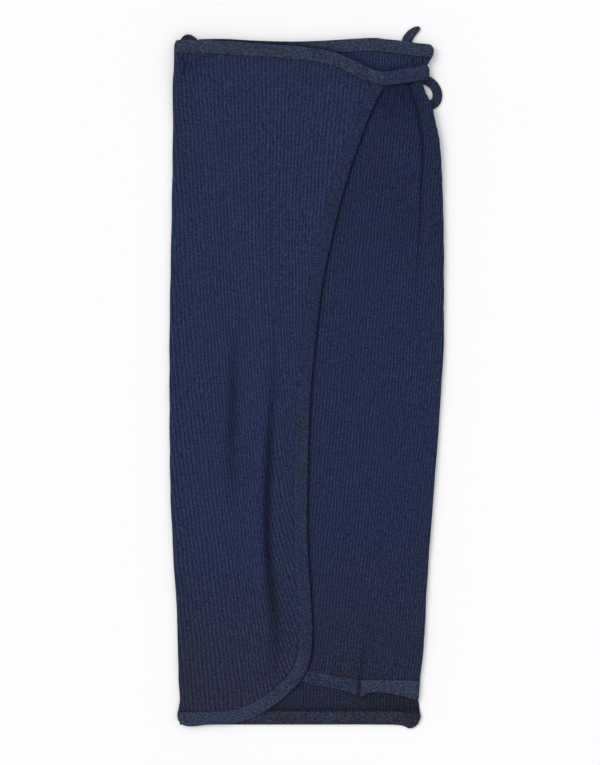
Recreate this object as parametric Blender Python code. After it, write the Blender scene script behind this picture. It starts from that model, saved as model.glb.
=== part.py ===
"""Wrap skirt in ribbed knit, laid flat on its back with its waist at +Y.

A back panel carries one front panel on each side.  The under front folds over at the right side
and lies on the back panel.  The over front folds over at the left side and lies on both.  A plain
knit binding, folded double, finishes the waist, the front edges and the hem, and runs on past the
over front as a tie, which turns round the right side to a knot behind the waist.

Sizes in the tables are millimetres, with the origin under the middle of the laid skirt.
"""

import math
from collections import namedtuple

import bmesh
import bpy
from mathutils import Vector

MM = 0.001

# Cloth
PANEL = 1.5  # thickness of the rib knit
BAND = 2.4  # thickness of the binding and the ties
GAP = 0.3  # clearance at a seam and between two layers
EASE = 0.2  # more of it where a long seam bends, and where the over front lies on the under one
SIDE_EASE = 1.1  # and at the side seams where the waist is drawn in
SIDE_EASE_RAMP = (262, 285)  # y over which the side seams gain it
BAND_WIDTH = 16.0
BAND_RIM = 1.2  # the binding thins towards its edges over this width
RIM_SHARE = 0.55  # share of the thickness that is left at an edge
FOLD_RADIUS = 2.55  # outer radius of a side fold over two layers
WAIST_FOLD_EXTRA = 1.35  # added at the left of the waist, where three layers of binding lie
FOLD_SETTLE = 14.0  # a side fold sinks to the lying cloth over this width
FOLD_STEPS = 4

# How the layers climb over what lies below them
TIE_LIFT = BAND + GAP  # the ties lie under the waist
WAIST_RAMP = (285, 366)  # y over which the cloth climbs to the waist
HEM_RAMP = (-384, -362)  # y over which the cloth climbs to the back hem
KNOT_RAMP_X = (-30, 62)  # and over which it climbs to the knot
KNOT_RAMP_Y = (195, 300)
STEP_FOOT = 22.0  # the over front leaves the back panel this far from the under front's edge
STEP_TOP = 8.0  # and is up on it this far before that edge
BAND_SETTLE = (17, 34)  # distance from an edge over which a binding's extra thickness fades

Place = namedtuple("Place", "x y")
Fold = namedtuple("Fold", "y x")
Hem = namedtuple("Hem", "x low high")
Roll = namedtuple("Roll", "y width share")
Ridge = namedtuple("Ridge", "y x height")
Turn = namedtuple("Turn", "x crest")
Along = namedtuple("Along", "at x y")

LEFT_FOLD = [
    Fold(392, -151.0),
    Fold(388, -153.0),
    Fold(382, -153.8),
    Fold(366, -154.2),
    Fold(340, -155.8),
    Fold(280, -155.8),
    Fold(171, -157.6),
    Fold(67, -159.5),
    Fold(0, -159.7),
    Fold(-73, -159.5),
    Fold(-142, -158.4),
    Fold(-212, -155.0),
    Fold(-282, -150.8),
    Fold(-350, -149.2),
    Fold(-376, -147.7),
    Fold(-391, -150.2),
    Fold(-399, -148.8),
    Fold(-404, -143.5),
]

RIGHT_FOLD = [
    Fold(388, 143.0),
    Fold(381, 147.4),
    Fold(371, 145.4),
    Fold(363, 140.8),
    Fold(352, 137.6),
    Fold(341, 135.6),
    Fold(333, 137.5),
    Fold(324, 142.0),
    Fold(314, 146.2),
    Fold(299, 149.2),
    Fold(276, 154.2),
    Fold(241, 157.0),
    Fold(171, 159.4),
    Fold(100, 159.6),
    Fold(32, 159.2),
    Fold(-38, 154.9),
    Fold(-107, 150.0),
    Fold(-177, 144.5),
    Fold(-247, 139.6),
    Fold(-316, 136.0),
    Fold(-354, 131.6),
    Fold(-376, 130.3),
    Fold(-388, 131.4),
    Fold(-394, 132.6),
    Fold(-402, 130.0),
]

# Upper edge of the back and under waistbands
WAIST_TOP = [
    Place(-150, 391.0),
    Place(-125, 392.4),
    Place(-95, 392.8),
    Place(-60, 390.9),
    Place(-20, 389.8),
    Place(15, 390.6),
    Place(50, 392.7),
    Place(80, 394.0),
    Place(90, 392.7),
    Place(108, 391.0),
    Place(129, 388.0),
    Place(146, 386.2),
]

# Middle line of the over waistband, which dips to the corner of the over front, and of the tie
OVER_WAIST = [
    Place(-156, 383.3),
    Place(-110, 382.4),
    Place(-60, 379.2),
    Place(-10, 375.6),
    Place(27, 370.0),
    Place(50, 360.6),
    Place(73, 350.0),
    Place(88, 346.4),
    Place(110, 348.8),
    Place(132, 352.4),
    Place(144, 354.8),
]
OVER_WAIST_HALF = 8.1
TIE_HALF = 8.6
CORNER_X = 89.0  # the over waistband ends here and the tie begins

# Outer edge of the over front, from its waist corner down to where its hem runs straight
OVER_EDGE = [
    Place(90, 337.0),
    Place(83, 325.0),
    Place(71, 299.0),
    Place(54, 252.0),
    Place(40, 206.0),
    Place(29, 160.0),
    Place(19, 113.0),
    Place(10, 43.0),
    Place(4, -28.0),
    Place(1, -120.0),
    Place(1, -190.0),
    Place(5, -258.0),
    Place(6.5, -300.0),
    Place(4, -328.0),
    Place(-6, -350.0),
    Place(-23, -368.7),
    Place(-44, -385.0),
    Place(-66, -396.6),
    Place(-90, -402.2),
    Place(-118, -403.6),
]
OVER_HEM = [
    Hem(-118, -403.6, -387.6),
    Hem(-129, -405.0, -387.6),
    Hem(-138, -405.2, -387.6),
    Hem(-145, -403.4, -387.6),
]

# Outer edge of the under front, hidden down to its hem
UNDER_EDGE = [
    Place(-122, 375.0),
    Place(-119.4, 366.0),
    Place(-116.6, 356.0),
    Place(-113.8, 346.0),
    Place(-110.8, 336.0),
    Place(-107, 322.0),
    Place(-103, 306.0),
    Place(-98, 288.0),
    Place(-92.8, 270.0),
    Place(-86.6, 248.0),
    Place(-79.6, 222.0),
    Place(-65, 150.0),
    Place(-54, 80.0),
    Place(-46, 20.0),
    Place(-41, -60.0),
    Place(-40, -150.0),
    Place(-40, -225.0),
    Place(-38, -280.0),
    Place(-31, -320.0),
    Place(-20, -342.0),
    Place(-7, -353.0),
    Place(10, -357.6),
    Place(27, -361.0),
]
UNDER_HEM = [
    Hem(27, -361.0, -344.4),
    Hem(44, -364.6, -347.8),
    Hem(57, -369.6, -350.2),
    Hem(61, -371.6, -350.6),
    Hem(65, -370.0, -350.6),
    Hem(75, -366.2, -350.6),
    Hem(94, -367.0, -350.9),
    Hem(111, -370.0, -351.3),
    Hem(127, -374.8, -351.6),
]
PLEAT_X = 62.0  # the under hem is highest here
PLEAT_RISE = 1.4
PLEAT_STEEP = 2.0  # width of the step's left side
PLEAT_FALL = 21.0  # and of its right side
PLEAT_FOOT = -372.0
PLEAT_REACH = 75.0  # the step fades over this height above its foot

BACK_HEM = [
    Place(-146, -403.2),
    Place(-130, -403.6),
    Place(0, -403.6),
    Place(100, -403.8),
    Place(114, -405.2),
    Place(121, -408.2),
    Place(128.5, -406.0),
    Place(131.6, -402.5),
]
HEM_SEAM = -387.6

# Soft roll along the right side: how far in its crease lies, and its share of the full height
SIDE_ROLL = [
    Roll(372, 14, 0.0),
    Roll(355, 15, 0.3),
    Roll(340, 16, 0.7),
    Roll(322, 18, 1.0),
    Roll(270, 20, 1.0),
    Roll(211, 25, 0.8),
    Roll(154, 29, 0.5),
    Roll(60, 34, 0.0),
]
ROLL_GROWTH = 0.88  # the side fold's radius grows by this along the roll
ROLL_SWELL = 0.4
ROLL_DROP = 4.0  # the roll falls to its crease over this width
TIE_SLACK = 0.9  # between the side fold and the tie that turns round it
TIE_LOOK = 6.0  # the tie bridges a rise within this distance
UNDER_HEM_END = -377.0  # the back panel shows whole below this
SHORT_STEP = 0.5  # half the height over which it widens to the side there

# Heights at which the waist, the tie and the back hem are measured
WAIST_LEVEL = 380.0
TIE_LEVEL = 352.0
HEM_LEVEL = -396.0

# How finely the cloth is divided, and how far a seam's shape reaches into a panel
BACK_STEPS = 10
BACK_COLUMNS = 12
BACK_TOP_FADE = 290.0
PANEL_TOP_FADE = 90.0
PANEL_HEM_FADE = 40.0
WAISTBAND_STEPS = 16
TIE_STEPS = 8
TIE_WIDEN = 25.0  # the tie grows to its full width over this
EDGE_SPACING = 40.0
TIE_SPACING = 26.0
CURL_SPACING = 5.0
TIP_ROWS = 4  # the tie's end narrows over this many rows
TIP_SHARE = 0.45
NARROW = 90.0  # a front's columns are drawn in where it is narrower than this
HIDDEN_LIMIT = -300.0  # columns follow the under front's hidden edge down to this height
HIDDEN_MARGIN = 24.0

# Ridge of the over front beside the long trough above the hidden edge of the under front
LONG_RIDGE = [
    Ridge(60, -28, 0.0),
    Ridge(-50, -33, 1.2),
    Ridge(-150, -35, 2.2),
    Ridge(-235, -32, 2.0),
    Ridge(-300, -28, 0.0),
]
RIDGE_WIDTH = 9.0

# Under tie, where it turns over the top of the back waistband: y of the turn's centre
TIE_TURN = [
    Turn(-145.8, 388.2),
    Turn(-142.5, 391.6),
    Turn(-139.0, 393.3),
    Turn(-135.0, 393.0),
    Turn(-130.5, 391.0),
    Turn(-126.0, 388.2),
]
TURN_LEG = 376.5  # lower end of the turn's front leg
TURN_BACK = 387.4  # lower end of its back leg
TURN_DIP = 388.0  # top of the back waistband under the turn
TURN_DIP_RUN = 12.0
UNDER_BAND_START = -125.6
BACK_TOP_DROP = 1.2  # the back waistband stands this much lower than the under one

# Hidden stretch of the under tie, behind the waist
UNDER_TIE = [
    Place(-145.8, 379.0),
    Place(-60.0, 379.0),
    Place(20.0, 379.0),
    Place(50.0, 372.0),
    Place(75.0, 358.5),
    Place(90.0, 352.0),
    Place(101.5, 352.0),
]
TIE_LOOP = [
    Place(120.4, 338.4),
    Place(132.0, 338.4),
    Place(141.5, 338.8),
    Place(148.0, 336.0),
    Place(151.7, 330.6),
    Place(152.0, 325.0),
    Place(149.6, 320.4),
    Place(145.0, 317.0),
    Place(138.0, 315.8),
    Place(130.0, 319.0),
    Place(125.0, 321.0),
    Place(120.6, 321.2),
]
TIE_END = [
    Place(113.0, 360.4),
    Place(113.0, 372.0),
    Place(115.0, 385.0),
    Place(117.4, 392.0),
    Place(121.0, 398.0),
    Place(125.6, 402.6),
    Place(129.8, 405.8),
]
LOOP_HALF = 4.9
KNOT_WEST, KNOT_EAST = 102.0, 120.0
KNOT_SOUTH, KNOT_NORTH = 318.0, 360.0


def smoothstep(value, start, end):
    """0 up to start, 1 from end on, and a soft climb between them."""
    share = min(max((value - start) / (end - start), 0.0), 1.0)
    return share * share * (3 - 2 * share)


def either(first, second):
    """Soft union of two shares."""
    return first + second - first * second


def slopes(keys, values):
    """Slope of a smooth curve at each point of a table."""
    found = []
    last = len(keys) - 1
    for index in range(len(keys)):
        before = max(index - 1, 0)
        after = min(index + 1, last)
        found.append((values[after] - values[before]) / (keys[after] - keys[before]))
    return found


def read(table, key, column, value):
    """Smooth value of a table's column where another column has the given value."""
    rows = sorted(table, key=lambda row: getattr(row, key))
    keys = [getattr(row, key) for row in rows]
    values = [getattr(row, column) for row in rows]
    value = min(max(value, keys[0]), keys[-1])
    index = 0
    while index < len(keys) - 2 and value > keys[index + 1]:
        index += 1
    span = keys[index + 1] - keys[index]
    t = (value - keys[index]) / span
    slope = slopes(keys, values)
    rise = (2 * t**3 - 3 * t**2 + 1) * values[index] + (3 * t**2 - 2 * t**3) * values[index + 1]
    bend = (t**3 - 2 * t**2 + t) * slope[index] + (t**3 - t**2) * slope[index + 1]
    return rise + span * bend


def smooth_route(points, spacing):
    """Points about one spacing apart on a smooth curve through the given points."""
    distance = [0.0]
    for start, end in zip(points, points[1:]):
        distance.append(distance[-1] + math.hypot(end.x - start.x, end.y - start.y))
    table = [Along(at, point.x, point.y) for at, point in zip(distance, points)]
    route = []
    for start, end in zip(distance, distance[1:]):
        count = max(1, round((end - start) / spacing))
        for step in range(count):
            at = start + (end - start) * step / count
            route.append(Place(read(table, "at", "x", at), read(table, "at", "y", at)))
    route.append(points[-1])
    return route


def inward(route, index, side):
    """Unit vector across a front's edge, towards its panel."""
    start = route[max(index - 1, 0)]
    end = route[min(index + 1, len(route) - 1)]
    length = math.hypot(end.x - start.x, end.y - start.y)
    return Place(side * (start.y - end.y) / length, side * (end.x - start.x) / length)


def depth_inside_under(x, y):
    """Distance from the under front's outer edge, positive on the under front."""
    nearest = math.inf
    sign = 1.0
    for start, end in zip(UNDER_OUTLINE, UNDER_OUTLINE[1:]):
        along_x, along_y = end.x - start.x, end.y - start.y
        to_x, to_y = x - start.x, y - start.y
        share = (to_x * along_x + to_y * along_y) / (along_x**2 + along_y**2)
        share = min(max(share, 0.0), 1.0)
        gap = math.hypot(to_x - share * along_x, to_y - share * along_y)
        if gap < nearest - 1e-9:
            nearest = gap
            sign = 1.0 if along_x * to_y - along_y * to_x > 0 else -1.0
    return sign * nearest


def waist_share(y):
    return smoothstep(y, *WAIST_RAMP)


def lift(x, y):
    """Height of the back panel above the surface, where the ties lie under it."""
    knot = smoothstep(x, *KNOT_RAMP_X) * smoothstep(y, *KNOT_RAMP_Y)
    return TIE_LIFT * either(waist_share(y), knot)


def back_top(x, y):
    band = either(waist_share(y), 1 - smoothstep(y, *HEM_RAMP))
    return lift(x, y) + PANEL + (BAND - PANEL) * band


def pleat(x, y):
    """Step of the under front's lower pleat, steep on its left and long on its right."""
    rise = smoothstep(x, PLEAT_X - PLEAT_STEEP, PLEAT_X)
    fall = smoothstep(x, PLEAT_X, PLEAT_X + PLEAT_FALL)
    reach = smoothstep(y, PLEAT_FOOT, PLEAT_FOOT + PLEAT_REACH)
    return PLEAT_RISE * rise * (1 - fall) * (1 - reach)


def under_bottom(x, y):
    return back_top(x, y) + GAP + pleat(x, y)


def over_bottom(x, y):
    """Lowest height of the over front, on the back panel or on the under front."""
    depth = depth_inside_under(x, y)
    on_under = either(smoothstep(depth, -STEP_FOOT, -STEP_TOP), waist_share(y))
    thick = either(1 - smoothstep(depth, *BAND_SETTLE), waist_share(y))
    under = EASE + GAP + PANEL + (BAND - PANEL) * thick
    ridge = read(LONG_RIDGE, "y", "height", y)
    ridge *= math.exp(-(((x - read(LONG_RIDGE, "y", "x", y)) / RIDGE_WIDTH) ** 2))
    return back_top(x, y) + GAP + on_under * under + ridge


def fold_x(side, y):
    return read(LEFT_FOLD if side < 0 else RIGHT_FOLD, "y", "x", y)


def roll_share(side, y):
    return read(SIDE_ROLL, "y", "share", y) if side > 0 else 0.0


def fold_radius(side, y):
    if side < 0:
        return FOLD_RADIUS + WAIST_FOLD_EXTRA * waist_share(y)
    return FOLD_RADIUS + ROLL_GROWTH * roll_share(side, y)


def fold_centre(side, y):
    return fold_x(side, y) - side * fold_radius(side, y)


def middle_height(side, x, y, thickness, near_band):
    """Height of the middle of a front's cloth, which sinks from its side fold to where it lies."""
    bottom = under_bottom(x, y) if side > 0 else over_bottom(x, y)
    lying = bottom + thickness / 2 + (BAND - thickness) / 2 * near_band
    radius = fold_radius(side, y)
    crest = lift(fold_centre(side, y), y) + 2 * radius - thickness / 2
    share = roll_share(side, y)
    inside = side * (fold_centre(side, y) - x)
    crease = read(SIDE_ROLL, "y", "width", y) - radius
    start = share * (crease - ROLL_DROP)
    end = FOLD_SETTLE + share * (crease - FOLD_SETTLE)
    across = min(max(inside / crease, 0.0), 1.0)
    swell = share * ROLL_SWELL * math.sin(math.pi * across)
    fall = smoothstep(inside, start, end)
    return (crest + swell) * (1 - fall) + lying * fall


def cell(x, y, z, half, across=(0.0, 0.0, 1.0)):
    """One grid cell: a point of the cloth's middle and its half thickness as a vector."""
    return Vector((x, y, z)), Vector(across) * half


def fold_cells(side, y, thickness, half):
    """Half turn round a side, from the front down to the back."""
    radius = fold_radius(side, y)
    centre = fold_centre(side, y)
    base = lift(centre, y) + radius
    cells = []
    for step in range(FOLD_STEPS + 1):
        angle = math.pi * (0.5 - step / FOLD_STEPS)
        out, up = side * math.cos(angle), math.sin(angle)
        arm = radius - thickness / 2
        cells.append(cell(centre + arm * out, y, base + arm * up, half, (out, 0.0, up)))
    return cells


def paint(name, red, green, blue, roughness):
    material = bpy.data.materials.new(name)
    material.use_nodes = True
    shader = material.node_tree.nodes["Principled BSDF"]
    shader.inputs["Base Color"].default_value = (red, green, blue, 1.0)
    shader.inputs["Roughness"].default_value = roughness
    shader.inputs["Metallic"].default_value = 0.0
    return material


def shell(name, grid, colour):
    """Closed cloth between two skins laid either side of a grid of cells."""
    mesh = bmesh.new()
    skins = []
    for sign in (1, -1):
        skins.append([[mesh.verts.new((point + sign * half) * MM) for point, half in row] for row in grid])
    rows, columns = len(grid), len(grid[0])
    for row in range(rows - 1):
        for column in range(columns - 1):
            for skin in skins:
                corners = (skin[row][column], skin[row][column + 1])
                corners += (skin[row + 1][column + 1], skin[row + 1][column])
                mesh.faces.new(corners)
    rim = [(0, column) for column in range(columns)]
    rim += [(row, columns - 1) for row in range(1, rows)]
    rim += [(rows - 1, column) for column in range(columns - 2, -1, -1)]
    rim += [(row, 0) for row in range(rows - 2, 0, -1)]
    front, back = skins
    for (row_a, column_a), (row_b, column_b) in zip(rim, rim[1:] + rim[:1]):
        corners = (front[row_a][column_a], front[row_b][column_b])
        corners += (back[row_b][column_b], back[row_a][column_a])
        mesh.faces.new(corners)
    bmesh.ops.triangulate(mesh, faces=mesh.faces)
    bmesh.ops.recalc_face_normals(mesh, faces=mesh.faces)
    data = bpy.data.meshes.new(name)
    mesh.to_mesh(data)
    mesh.free()
    data.shade_smooth()
    data.set_sharp_from_angle(angle=math.radians(50))
    data.materials.append(colour)
    piece = bpy.data.objects.new(name, data)
    bpy.context.scene.collection.objects.link(piece)
    return piece


def across_band(width):
    """Distances across a binding, with the share of its thickness at each."""
    return [
        (0.0, RIM_SHARE),
        (BAND_RIM, 1.0),
        (width / 2, 1.0),
        (width - BAND_RIM, 1.0),
        (width, RIM_SHARE),
    ]


def across_share():
    """The same distances as shares of a binding's width."""
    return [(distance / BAND_WIDTH, share) for distance, share in across_band(BAND_WIDTH)]


def spread(start, end, count):
    return [start + (end - start) * index / count for index in range(count + 1)]


def back_edge(side, y):
    """Side edge of the back panel, which meets the front's fold except below the under hem."""
    if side > 0 and y < UNDER_HEM_END:
        return fold_x(side, y)
    return fold_centre(side, y) - side * (GAP + SIDE_EASE * smoothstep(y, *SIDE_EASE_RAMP))


def waist_top(x):
    return read(WAIST_TOP, "x", "y", x)


def back_waist_top(x):
    """Upper edge of the back waistband, lower at the left, where the under tie turns over it."""
    dip = 1 - smoothstep(x, UNDER_BAND_START, UNDER_BAND_START + TURN_DIP_RUN)
    top = waist_top(x) - BACK_TOP_DROP
    return top - dip * (top - TURN_DIP)


def back_seam(x):
    return waist_top(x) - BACK_TOP_DROP - BAND_WIDTH


def under_seam(x):
    """Lower edge of the under waistband."""
    return under_line(x, 0)


def over_seam(x):
    """Lower edge of the over waistband."""
    return band_line(x, -OVER_WAIST_HALF)


def band_line(x, offset):
    """Line beside the over waist's middle line, at a distance measured square to it."""
    middle = read(OVER_WAIST, "x", "y", x)
    slope = read(OVER_WAIST, "x", "y", x + 1) - read(OVER_WAIST, "x", "y", x - 1)
    return middle + offset * math.hypot(1, slope / 2)


def hem_edge(x):
    """Lower edge of the back hem band."""
    return read(BACK_HEM, "x", "y", x)


def back_row(line, height, half, share_thick):
    """One row of a back piece, between the two fronts' folds; line gives its height at x."""
    left = back_edge(-1, line(back_edge(-1, height)))
    right = back_edge(1, line(back_edge(1, height)))
    shares = spread(0, 1, BACK_COLUMNS)
    shares.insert(-1, (shares[-2] + 1) / 2)  # where the hem dips lowest
    row = []
    for share in shares:
        x = left + share * (right - left)
        y = line(x)
        row.append(cell(x, y, lift(x, y) + half, half * share_thick))
    return row


def make_back_panel(colour):
    top = back_seam(0) - GAP
    bottom = HEM_SEAM + GAP
    heights = spread(top, KNOT_RAMP_Y[0], BACK_STEPS)
    heights += spread(KNOT_RAMP_Y[0], HEM_RAMP[1], BACK_STEPS + 1)[1:]
    heights += [UNDER_HEM_END + SHORT_STEP, UNDER_HEM_END - SHORT_STEP, bottom]
    rows = []
    for height in heights:
        at_top = smoothstep(height, BACK_TOP_FADE, top)

        def line(x):
            return height + at_top * (back_seam(x) - back_seam(0))

        rows.append(back_row(line, height, PANEL / 2, 1))
    return shell("back_panel", rows, colour)


def make_back_waistband(colour):
    rows = []
    for share_up, thick in across_share():

        def line(x):
            return back_seam(x) + share_up * (back_waist_top(x) - back_seam(x))

        rows.append(back_row(line, WAIST_LEVEL, BAND / 2, thick))
    return shell("back_waistband", rows, colour)


def make_back_hem_band(colour):
    rows = []
    for share_up, thick in across_share():

        def line(x):
            return hem_edge(x) + share_up * (HEM_SEAM - hem_edge(x))

        rows.append(back_row(line, HEM_LEVEL, BAND / 2, thick))
    return shell("back_hem_band", rows, colour)


def waistband(name, side, line, start, colour):
    """Waistband of one front, from its free end to its side fold; line gives a row's height."""
    rows = []
    for distance, share in across_band(BAND_WIDTH):
        fold_y = line(fold_centre(side, WAIST_LEVEL), distance)
        row = []
        for x in spread(start, fold_centre(side, fold_y), WAISTBAND_STEPS)[:-1]:
            y = line(x, distance)
            row.append(cell(x, y, middle_height(side, x, y, BAND, 1.0), BAND / 2 * share))
        row += fold_cells(side, fold_y, BAND, BAND / 2 * share)
        rows.append(row)
    return shell(name, rows, colour)


def over_line(x, distance):
    return band_line(x, distance * 2 * OVER_WAIST_HALF / BAND_WIDTH - OVER_WAIST_HALF)


def under_line(x, distance):
    return waist_top(x) - BAND_WIDTH + distance


def edge_stations(outline, hem, side, first_inner):
    """Outer and inner points of a front's binding, from its waist corner to its side fold."""
    pairs = []
    for index, outer in enumerate(outline):
        normal = inward(outline, index, side)
        inner = Place(outer.x + BAND_WIDTH * normal.x, outer.y + BAND_WIDTH * normal.y)
        pairs.append((outer, inner))
    pairs[0] = (outline[0], first_inner)
    for row in hem[1:]:
        pairs.append((Place(row.x, row.low), Place(row.x, row.high)))
    return pairs


def make_edge_band(name, side, pairs, colour):
    rows = []
    for outer, inner in pairs:
        row = []
        width = math.hypot(inner.x - outer.x, inner.y - outer.y)
        for distance, share in across_band(width):
            x = outer.x + (inner.x - outer.x) * distance / width
            y = outer.y + (inner.y - outer.y) * distance / width
            z = middle_height(side, x, y, BAND, 1.0)
            row.append(cell(x, y, z, BAND / 2 * share))
        rows.append(row)
    low, high = pairs[-1][0].y, pairs[-1][1].y
    turned = []
    for distance, share in across_band(high - low):
        turned.append(fold_cells(side, low + distance, BAND, BAND / 2 * share))
    for step in range(FOLD_STEPS + 1):
        rows.append([column[step] for column in turned])
    return shell(name, rows, colour)


def make_front_panel(name, side, pairs, seam, hem, colour):
    """Rib panel of one front, from its side fold to the inner edge of its binding."""
    inner = []
    for outer, edge in pairs:
        width = math.hypot(edge.x - outer.x, edge.y - outer.y)
        grow = (width + GAP) / width
        inner.append(Place(outer.x + (edge.x - outer.x) * grow, outer.y + (edge.y - outer.y) * grow))
    top = inner[0]
    bottom = inner[-1]
    rows = []
    for edge in inner:
        at_top = 1 - smoothstep(top.y - edge.y, 0, PANEL_TOP_FADE)
        at_hem = 1 - smoothstep(edge.y - bottom.y, 0, PANEL_HEM_FADE)

        def height(x):
            y = edge.y + at_top * (seam(x) - GAP - EASE - top.y)
            return y + at_hem * (read(hem, "x", "high", x) + GAP - bottom.y)

        fold_y = height(fold_centre(side, edge.y))
        start = fold_centre(side, fold_y)
        row = list(reversed(fold_cells(side, fold_y, PANEL, PANEL / 2)))
        for x in panel_columns(side, start, edge.x, height((start + edge.x) / 2)):
            y = height(x)
            depth = side * (x - edge.x)
            near = either(1 - smoothstep(depth, 0, BAND_SETTLE[1] - BAND_WIDTH), waist_share(y))
            near = either(near, at_hem)
            z = middle_height(side, x, y, PANEL, near)
            row.append(cell(x, y, z, PANEL / 2))
        rows.append(row)
    return shell(name, rows, colour)


def panel_columns(side, start, end, y):
    """Where a front panel's columns lie, with some at its creases."""
    if side > 0:
        crease = read(SIDE_ROLL, "y", "width", y) - FOLD_RADIUS
        columns = [start - step for step in (crease / 2, crease - ROLL_DROP, crease, crease + 10)]
        return columns + spread(columns[-1], end, 7)[1:]
    fit = min(1, (end - start) / NARROW)
    hidden = min(read_edge(UNDER_OUTLINE, max(y, HIDDEN_LIMIT)), end - HIDDEN_MARGIN * fit)
    marks = [hidden + fit * offset for offset in (-STEP_FOOT, -STEP_TOP, 5, BAND_SETTLE[0])]
    room = marks[0] - start
    columns = [start + min(FOLD_SETTLE / 3, room / 3), start + min(FOLD_SETTLE, 2 * room / 3)]
    columns.append((columns[-1] + marks[0]) / 2)
    return columns + marks + spread(marks[-1], end, 4)[1:]


def read_edge(outline, y):
    """x of an outline at a height."""
    for start, end in zip(outline, outline[1:]):
        if end.y <= y <= start.y:
            return start.x + (end.x - start.x) * (start.y - y) / (start.y - end.y)
    return outline[0].x if y > outline[0].y else outline[-1].x


def under_surface(x, y):
    """Top of the under front, panel or binding."""
    near = either(waist_share(y), 1 - smoothstep(depth_inside_under(x, y), *BAND_SETTLE))
    thickness = PANEL + (BAND - PANEL) * near
    return middle_height(1, x, y, thickness, 0.0) + thickness / 2


def tie_height(x, y):
    """Middle of the tie where it lies on the under front, clear of the rise just beside it."""
    nearby = [under_surface(x + step, y) for step in (-TIE_LOOK, 0, TIE_LOOK)]
    return max(nearby) + GAP + BAND / 2


def half_turn():
    """Outward and upward parts of the directions round a tie's turn, from above to below."""
    angles = [math.pi * (0.5 - step / (2 * FOLD_STEPS)) for step in range(2 * FOLD_STEPS + 1)]
    return [(math.cos(angle), math.sin(angle)) for angle in angles]


def make_waist_tie(colour):
    """Tie from the over front's corner, across to the right side and round it to the knot."""
    rows = []
    for distance, share in across_band(2 * TIE_HALF):
        offset = distance - TIE_HALF
        widen = OVER_WAIST_HALF / TIE_HALF
        fold_y = band_line(fold_centre(1, TIE_LEVEL), offset)
        centre = fold_centre(1, fold_y)
        row = []
        for x in spread(CORNER_X + GAP, centre, TIE_STEPS)[:-1]:
            grow = widen + (1 - widen) * smoothstep(x, CORNER_X, CORNER_X + TIE_WIDEN)
            y = band_line(x, offset * grow)
            row.append(cell(x, y, tie_height(x, y), BAND / 2 * share))
        arm = fold_radius(1, fold_y) + TIE_SLACK + BAND / 2
        top = max(tie_height(centre, fold_y), lift(centre, fold_y) + arm + fold_radius(1, fold_y))
        low = BAND / 2
        middle = (top + low) / 2
        half_height = (top - low) / 2
        for out, up in half_turn():
            x = centre + arm * out
            z = middle + half_height * up
            row.append(cell(x, fold_y, z, BAND / 2 * share, (out, 0, up)))
        row.append(cell(KNOT_EAST + GAP, fold_y, low, BAND / 2 * share))
        rows.append(row)
    return shell("waist_tie", rows, colour)


def strip(name, route, widths, colour):
    """Flat strip that lies on the surface along a route; widths are half widths at its points."""
    rows = []
    for index, (point, half_width) in enumerate(zip(route, widths)):
        start, end = route[max(index - 1, 0)], route[min(index + 1, len(route) - 1)]
        length = math.hypot(end.x - start.x, end.y - start.y)
        side_x, side_y = -(end.y - start.y) / length, (end.x - start.x) / length
        row = []
        for distance, share in across_band(2 * half_width):
            offset = distance - half_width
            x, y = point.x + side_x * offset, point.y + side_y * offset
            row.append(cell(x, y, BAND / 2, BAND / 2 * share))
        rows.append(row)
    return shell(name, rows, colour)


def make_tie_turn(colour):
    """Under tie's turn over the top of the back waistband, from its inside to its outside."""
    inside = lift(UNDER_BAND_START, WAIST_LEVEL) + BAND + GAP + BAND / 2
    outside = BAND / 2
    arm = (inside - outside) / 2
    rows = []
    for index, turn in enumerate(TIE_TURN):
        share = RIM_SHARE if index in (0, len(TIE_TURN) - 1) else 1.0
        half = BAND / 2 * share
        row = [cell(turn.x, y, inside, half) for y in (TURN_LEG, (TURN_LEG + turn.crest) / 2)]
        for out, up in half_turn():
            y = turn.crest + arm * out
            row.append(cell(turn.x, y, outside + arm + arm * up, half, (0, out, up)))
        row.append(cell(turn.x, TURN_BACK, outside, half, (0, 0, -1)))
        rows.append(row)
    return shell("under_tie_turn", rows, colour)


def make_knot(colour):
    """Knot behind the waist, pressed flat."""
    rows = []
    for across, end_share in across_band(KNOT_EAST - KNOT_WEST):
        row = []
        for distance, share in across_band(KNOT_NORTH - KNOT_SOUTH):
            half = BAND / 2 * min(share, end_share)
            row.append(cell(KNOT_WEST + across, KNOT_SOUTH + distance, BAND / 2, half))
        rows.append(row)
    return shell("tie_knot", rows, colour)


def make_strips(colour):
    under = smooth_route(UNDER_TIE, TIE_SPACING)
    strip("under_tie", under, [BAND_WIDTH / 2] * len(under), colour)
    loop = smooth_route(TIE_LOOP, CURL_SPACING)
    strip("tie_loop", loop, [LOOP_HALF] * len(loop), colour)
    end = smooth_route(TIE_END, CURL_SPACING)
    last = len(end) - 1
    narrowing = [smoothstep(index, last + 1 - TIP_ROWS, last) for index in range(len(end))]
    strip("tie_end", end, [LOOP_HALF * (1 - (1 - TIP_SHARE) * share) for share in narrowing], colour)


UNDER_FRONT = smooth_route(UNDER_EDGE, EDGE_SPACING)
UNDER_OUTLINE = UNDER_FRONT + [Place(row.x, row.low) for row in UNDER_HEM[1:]]
OVER_FRONT = smooth_route(OVER_EDGE, EDGE_SPACING)


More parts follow.
